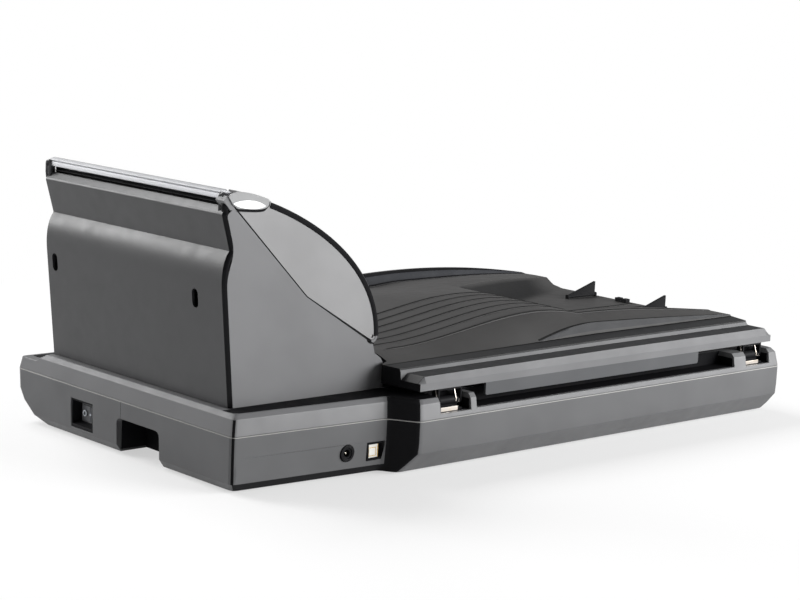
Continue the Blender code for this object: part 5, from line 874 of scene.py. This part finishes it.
# The lens is painted white as a bright reflection.
lens_shape = curve((256.4, 205.2), (262, 209.8), (275, 212.0), (286.4, 208.6), 14)
lens_shape += curve((286.4, 208.6), (282.6, 204.2), (263, 201.6), (256.4, 205.2), 14)[1:-1]
piece("latch_lens_painted_reflection", placed(prism(lens_shape, "Y", 109.8, 110.45)), LENS_PAINTED_REFLECTION, "latch", edge=0.0003)
shadow = face_low[:-1]
for x, z in face_low[-2::-1]:
    left = 1.6 * clamped((256 - x) / 3) - (0.9 if x < 256 else 0)
    shadow.append((x - left, z - 1.9 * clamped((x - 251) / 6)))
piece("latch_gap", placed(prism(shadow, "Y", 109.02, 109.6)), SHADE, "door")


# Lines on the casing: the painted highlight along the seam round the base, the panel's joint and foot, painted shade on
# the deck, the corner line, and painted shade in the skirt's recess

def outline_at(node, height):
    """The node's outer outline where a level plane cuts it, as its points in order."""
    bm = merged(node)
    cut_line = bmesh.ops.bisect_plane(bm, geom=bm.verts[:] + bm.edges[:] + bm.faces[:], dist=0.000001,
                                      plane_co=(0, 0, height * MM + LIFT), plane_no=(0, 0, 1))["geom_cut"]
    edges = [item for item in cut_line if isinstance(item, bmesh.types.BMEdge)]
    loops = []
    while edges:
        edge = edges.pop()
        chain = [edge.verts[0], edge.verts[1]]
        while True:
            following = next((other for other in edges if chain[-1] in other.verts), None)
            if following is None:
                break
            edges.remove(following)
            chain.append(following.other_vert(chain[-1]))
        loops.append([(vert.co.x / MM, vert.co.y / MM) for vert in chain])
    bm.free()
    return max(loops, key=lambda loop: max(x for x, _ in loop) - min(x for x, _ in loop) + len(loop) * 0.001)


def girdle(loop, low, high, out):
    """A thin strip round an outline, moved out from it by a little."""
    points = loop if loop[0] != loop[-1] else loop[:-1]
    return prism([(x * (1 + out / 294.2), y * (1 + out / 161)) for x, y in points], "Z", low, high)


# Painted highlight: a light line round the top edge of the lower shell at the seam.
seam_loop = outline_at("base_lower_shell", 40.6)
seam = carved(girdle(seam_loop, 40.55, 41.25, -0.02), girdle(seam_loop, 39.55, 42.25, -0.8))
piece("base_seam_painted_highlight", placed(seam), SEAM_HIGHLIGHT, "base", sharp=50)


def ribbon(points, half, low, high):
    """A thin line along (x, z) points, between two planes across Y."""
    along = headings(points)
    above = [(x - way.y * half, z + way.x * half) for (x, z), way in zip(points, along)]
    below = [(x + way.y * half, z - way.x * half) for (x, z), way in zip(points, along)]
    return prism(above + below[::-1], "Y", low, high)


joint_line = [(284.2, 205.9), (281.3, 202.8), (213.6, 135.3), (161.4, 103.0), (145.4, 93.2)]
joint = gathered(ribbon(joint_line, 0.42, 108.8, 109.08), ribbon(joint_line, 0.42, -128.08, -127.8))
piece("panel_joint", placed(joint), SHADE, "base")
foot_plate = [(143.7, 57.7), (134.4, 57.7), (134.1, 76.3), (137.4, 81.2), (143.7, 85.7)]
piece("panel_foot", placed(prism(foot_plate, "Y", 106.4, 108.98)), CASING, "base", edge=0.0003)
# Painted shade: a black sheet on the deck between the panel and the bevel.
deck = [(119.6, 109.1), (289.2, 109.1), (287.8, 120.4), (284.6, 122.9), (155.8, 132.0), (152.1, 133.2), (149.6, 136.7),
        (140.0, 152.4), (137.4, 154.9), (133.9, 155.7), (119.6, 155.7)]
piece("deck_painted_shade", placed(prism(deck, "Z", 57.32, 57.5)), SHADE, "base")


def corner_line(stations):
    """A dark line down the upright corner, a hair proud of it, through (z, x, y) stations of the corner's edge."""
    bm = bmesh.new()
    turn = ((0.46, -0.9), (0.13, 0.12), (-1.05, 0.6))
    rows = [[bm.verts.new((x + a, y + b, z)) for a, b in turn] for z, x, y in stations]
    for above, below in zip(rows, rows[1:]):
        for k in range(2):
            bm.faces.new((above[k], above[k + 1], below[k + 1], below[k]))
    bmesh.ops.solidify(bm, geom=bm.faces[:], thickness=0.5)
    return closed(bm)


corner = gathered(corner_line([(53.6, 291.0, 125.75), (43.3, 292.9, 127.5), (41.3, 293.2, 127.8)]),
                  corner_line([(40.9, 293.2, 127.8), (25, 293.2, 127.8), (16, 292.8, 127.4), (6, 292.5, 127.1)]))
piece("corner_line", placed(corner), DARK, "base")
# Painted shade: black sheets in the hollow under the lid's skirt.
recess = blocks(((-231.8, 141.2, 45.9), (80.8, 157.3, 46.1)), ((-231.8, 141.1, 45.9), (80.8, 141.4, 57.2)),
                ((-231.9, 141.2, 45.9), (-231.6, 157.3, 53)), ((80.6, 141.2, 45.9), (80.9, 157.3, 53)))
piece("skirt_recess_painted_shade", placed(recess), SHADE, "base")
piece("end_seam", placed(block((293.9, -13.0, 27.5), (294.215, -12.6, 40.8))), DARK, "base")


# Lid hinges: rolled knuckle, bright lower leaf, side ears and painted shade in the pocket

hinge_y, hinge_z = 149.6, 51.6
for side, x in (("left", 103.2), ("right", -264.0)):
    knuckle = gathered(*(pin((x + at, hinge_y, hinge_z), "X", length, radius, segments=40)
                         for at, length, radius in ((2, 22, 1.7), (-9.6, 1.6, 2.6), (13.4, 0.8, 2.2))))
    piece(f"hinge_knuckle_{side}", placed(knuckle), BAR, "base", edge=0.0003)
    strip = block((x - 5.2, 155.9, 44.9), (x + 12.6, 156.4, 48.4))
    piece(f"hinge_leaf_strip_{side}", placed(strip), STEEL, "base", edge=0.0003)
    ear = [(152.7, 51), (152.7, 53.4), (149.6, 62.4), (148.6, 62.4), (151.6, 53.2), (151.6, 51)]
    ears = [prism(ear, "X", at - 0.4, at + 0.4) for at in (x - 6.6, x + 12.9)]
    piece(f"hinge_ears_{side}", placed(gathered(*ears)), STEEL, "lid", edge=0.0002)
    # Painted shade: black sheets inside the hinge pocket.
    pocket = blocks(((x - 15.9, 141.2, 45.1), (x + 15.9, 142, 57.2)),
                    ((x - 15.9, 141.2, 45.1), (x + 15.9, 157.3, 45.3)),
                    ((x - 15.95, 141.2, 45.1), (x - 15.7, 157.3, 53)))
    piece(f"hinge_pocket_painted_shade_{side}", placed(pocket), SHADE, "base")


# Sockets

socket_y = 136.9
core = blocks(((160.6, socket_y - 12, 10.7), (171.9, socket_y - 0.9, 23.2)),
              ((163.2, socket_y - 1.2, 13.6), (169.6, socket_y - 0.6, 19.4)))
piece("data_socket_core", placed(core), SOCKET_WHITE, "base", edge=0.0003)
contacts = [block((160.5, socket_y - 1.2, z), (171.9, socket_y - 0.7, z + 0.7)) for z in (10.9, 22.3)]
contacts += [block((x, socket_y - 1.2, 11.6), (x + 0.6, socket_y - 0.7, 22.3)) for x in (160.6, 171.2)]
contacts += [block((162.6, socket_y - 1.2, z), (170.2, socket_y - 0.7, z + 0.5)) for z in (13.1, 19.4)]
contacts += [block((x, socket_y - 1.2, 13.6), (x + 0.5, socket_y - 0.7, 19.4)) for x in (162.6, 169.7)]
piece("data_socket_contacts", placed(gathered(*contacts)), GOLD, "base")
rim_outline = rounded([(155.6, 9.9), (172.3, 9.9), (172.3, 24.2), (155.6, 24.2)], 0.8, 4)
rim = carved(prism(rim_outline, "Y", socket_y - 0.6, socket_y + 0.15),
             prism([(156.6, 10.9), (171.4, 10.9), (171.4, 23.2), (156.6, 23.2)], "Y", socket_y - 4, socket_y + 3))
piece("data_socket_rim", placed(rim), DARK, "base", edge=0.0002)
jack_x, jack_z = 190.8, 18.0
ring = carved(pin((jack_x, 135.7, jack_z), "Y", 1.0, 6.4, segments=48),
              pin((jack_x, 135.7, jack_z), "Y", 4, 4.4, segments=40))
piece("dc_jack_ring", placed(ring), GLOSS, "base", edge=0.0003)
throat = carved(pin((jack_x, 131.0, jack_z), "Y", 9, 4.6, segments=40),
                pin((jack_x, 132.0, jack_z), "Y", 9, 3.2, segments=32))
piece("dc_jack_throat", placed(throat), GLOSS, "base", edge=0.0004)
contact = pin((jack_x, 130.5, jack_z), "Y", 7, 0.9, 0.7, 20)
piece("dc_jack_contact", placed(contact), BRIGHT, "base", edge=0.0002)


# Power switch: bezel, ribs under the rocker, and the plain on and off marks

floor_x = 284.5
bezel_outline = rounded([(-77.6, 11.6), (-55.4, 11.6), (-55.4, 28.6), (-77.6, 28.6)], 1.2, 4)
bezel = carved(prism(bezel_outline, "X", floor_x, floor_x + 1.6),
               prism([(-75.9, 12.9), (-57.1, 12.9), (-57.1, 26), (-75.9, 26)], "X", floor_x - 2, floor_x + 5))
piece("switch_bezel", placed(bezel), CASING, "base", edge=0.0003)
ribs = [block((floor_x - 0.2, -78.5 + 3.1 * i, 8.9), (floor_x + 2.2, -77.3 + 3.1 * i, 10.8)) for i in range(8)]
piece("switch_ribs", placed(gathered(*ribs)), CASING, "base", edge=0.0002)
# Painted light: the sill in the switch's mouth is light grey where its top catches light.
sill = prism([(284.6, 8.6), (293.2, 8.0), (293.2, 8.5), (284.6, 9.1)], "Y", -80.9, -52.1)
piece("switch_sill", placed(sill), SILL_PAINTED_LIGHT, "base", edge=0.0002)
off_centre = (287.1, -72.2, 19.4)
mark_off = carved(pin(off_centre, "X", 0.5, 2.5, segments=32), pin(off_centre, "X", 2, 1.6, segments=32))
piece("switch_mark_off", placed(mark_off), MARK, "rocker")
mark_on = block((285.6, -64.7, 18.7), (287.6, -62.9, 20.1))
piece("switch_mark_on", placed(mark_on), MARK, "rocker", edge=0.0001)


# Painted shade inside the grip notch and on the small slots in the bottom bevels

# Painted shade: black sheets inside the grip notch.
notch_shade = blocks(((265.3, -17.9, 0.5), (265.7, 37.9, 27.2)), ((265.3, -17.9, 26.8), (289, 37.9, 27.2)),
                ((265.3, -17.9, 2), (289, -17.5, 27.2)), ((265.3, 37.5, 2), (289, 37.9, 27.2)))
piece("grip_notch_painted_shade", placed(notch_shade), SHADE, "base", edge=0.0001)
# Painted shade: dark plates where small slots open in the bottom bevels.
slots = [prism([(289, 3.6), (291.45, 3.6), (292.65, 5.0), (289, 5.0)], "Y", -72.6, -66)]
slots += [prism([(148, 4.5), (150.2, 4.5), (152.0, 5.9), (148, 5.9)], "X", x, x + 10) for x in (38, -104)]
piece("bevel_slot_painted_shade", placed(gathered(*slots)), SHADE, "base")


# Floor, background and soft lamps

def floor_finish():
    """Pale floor that keeps the shadow under the machine and goes over into the white background further out."""
    finish = Finish("pale_floor", (0.86, 0.86, 0.86), 0.7)
    finish.mottle(finish.noise(0.4, 1), (0.88, 0.88, 0.88))
    reach = finish.node("ShaderNodeVectorMath", operation="LENGTH")
    finish.wire(finish.place, reach.inputs[0])
    white = finish.node("ShaderNodeEmission")
    path = finish.node("ShaderNodeLightPath")
    seen = finish.node("ShaderNodeMath", operation="MAXIMUM")
    finish.wire(path.outputs["Is Camera Ray"], seen.inputs[0])
    bounced = finish.node("ShaderNodeMath", operation="MAXIMUM")
    finish.wire(path.outputs["Is Glossy Ray"], bounced.inputs[0])
    finish.wire(path.outputs["Is Transmission Ray"], bounced.inputs[1])
    finish.wire(bounced.outputs["Value"], seen.inputs[1])
    share = finish.node("ShaderNodeMath", operation="MULTIPLY")
    finish.wire(finish.ranged(reach.outputs["Value"], 0.55, 1.0, 0.3, 0.75), share.inputs[0])
    finish.wire(seen.outputs["Value"], share.inputs[1])
    mixed = finish.node("ShaderNodeMixShader")
    finish.wire(share.outputs["Value"], mixed.inputs["Fac"])
    finish.wire(finish.shader.outputs["BSDF"], mixed.inputs[1])
    finish.wire(white.outputs["Emission"], mixed.inputs[2])
    finish.wire(mixed.outputs["Shader"], finish.tree.nodes["Material Output"].inputs["Surface"])
    return finish.material


ground = bmesh.new()
bmesh.ops.create_grid(ground, x_segments=4, y_segments=4, size=6)
ground_mesh = bpy.data.meshes.new("floor")
ground.to_mesh(ground_mesh)
ground.free()
ground_mesh.materials.append(floor_finish())
floor = bpy.data.objects.new("floor", ground_mesh)
bpy.context.scene.collection.objects.link(floor)

world = bpy.data.worlds.new("studio")
bpy.context.scene.world = world
world.use_nodes = True
sky = world.node_tree.nodes["Background"]
sky.inputs["Color"].default_value = (1, 1, 1, 1)
rays = world.node_tree.nodes.new("ShaderNodeLightPath")
strength = None
for ray, brightness in (("Is Glossy Ray", 0.3), ("Is Transmission Ray", 0.8), ("Is Camera Ray", 1.0)):
    gate = world.node_tree.nodes.new("ShaderNodeMix")
    gate.inputs["A"].default_value = 0.1
    gate.inputs["B"].default_value = brightness
    world.node_tree.links.new(rays.outputs[ray], gate.inputs["Factor"])
    if strength:
        world.node_tree.links.new(strength.outputs["Result"], gate.inputs["A"])
    strength = gate
world.node_tree.links.new(strength.outputs["Result"], sky.inputs["Strength"])


def lamp(name, where, aim, width, height, level):
    """A soft box that lights a surface facing it at its aim to the given level, where 1 shows a colour as written."""
    light = bpy.data.lights.new(name, "AREA")
    light.shape, light.size, light.size_y = "RECTANGLE", width, height
    away = Vector(aim) - Vector(where)
    light.energy = level * math.pi ** 2 * away.length_squared
    obj = bpy.data.objects.new(name, light)
    obj.location = where
    obj.rotation_euler = away.to_track_quat("-Z", "Y").to_euler()
    bpy.context.scene.collection.objects.link(obj)


middle = (0, 0, 0.1)
lamp("right_softbox", (-1.35, 1.75, 0.7), middle, 1.8, 1.1, 1.7)
lamp("left_softbox", (1.9, -1.3, 0.7), middle, 1.2, 1.0, 0.12)
lamp("front_softbox", (0.3, -1.35, 1.7), (0.1, 0, 0.1), 1.3, 0.85, 0.85)
lamp("end_softbox", (1.1, -1.62, 0.88), (0.29, 0, 0.15), 0.75, 1.0, 0.6)
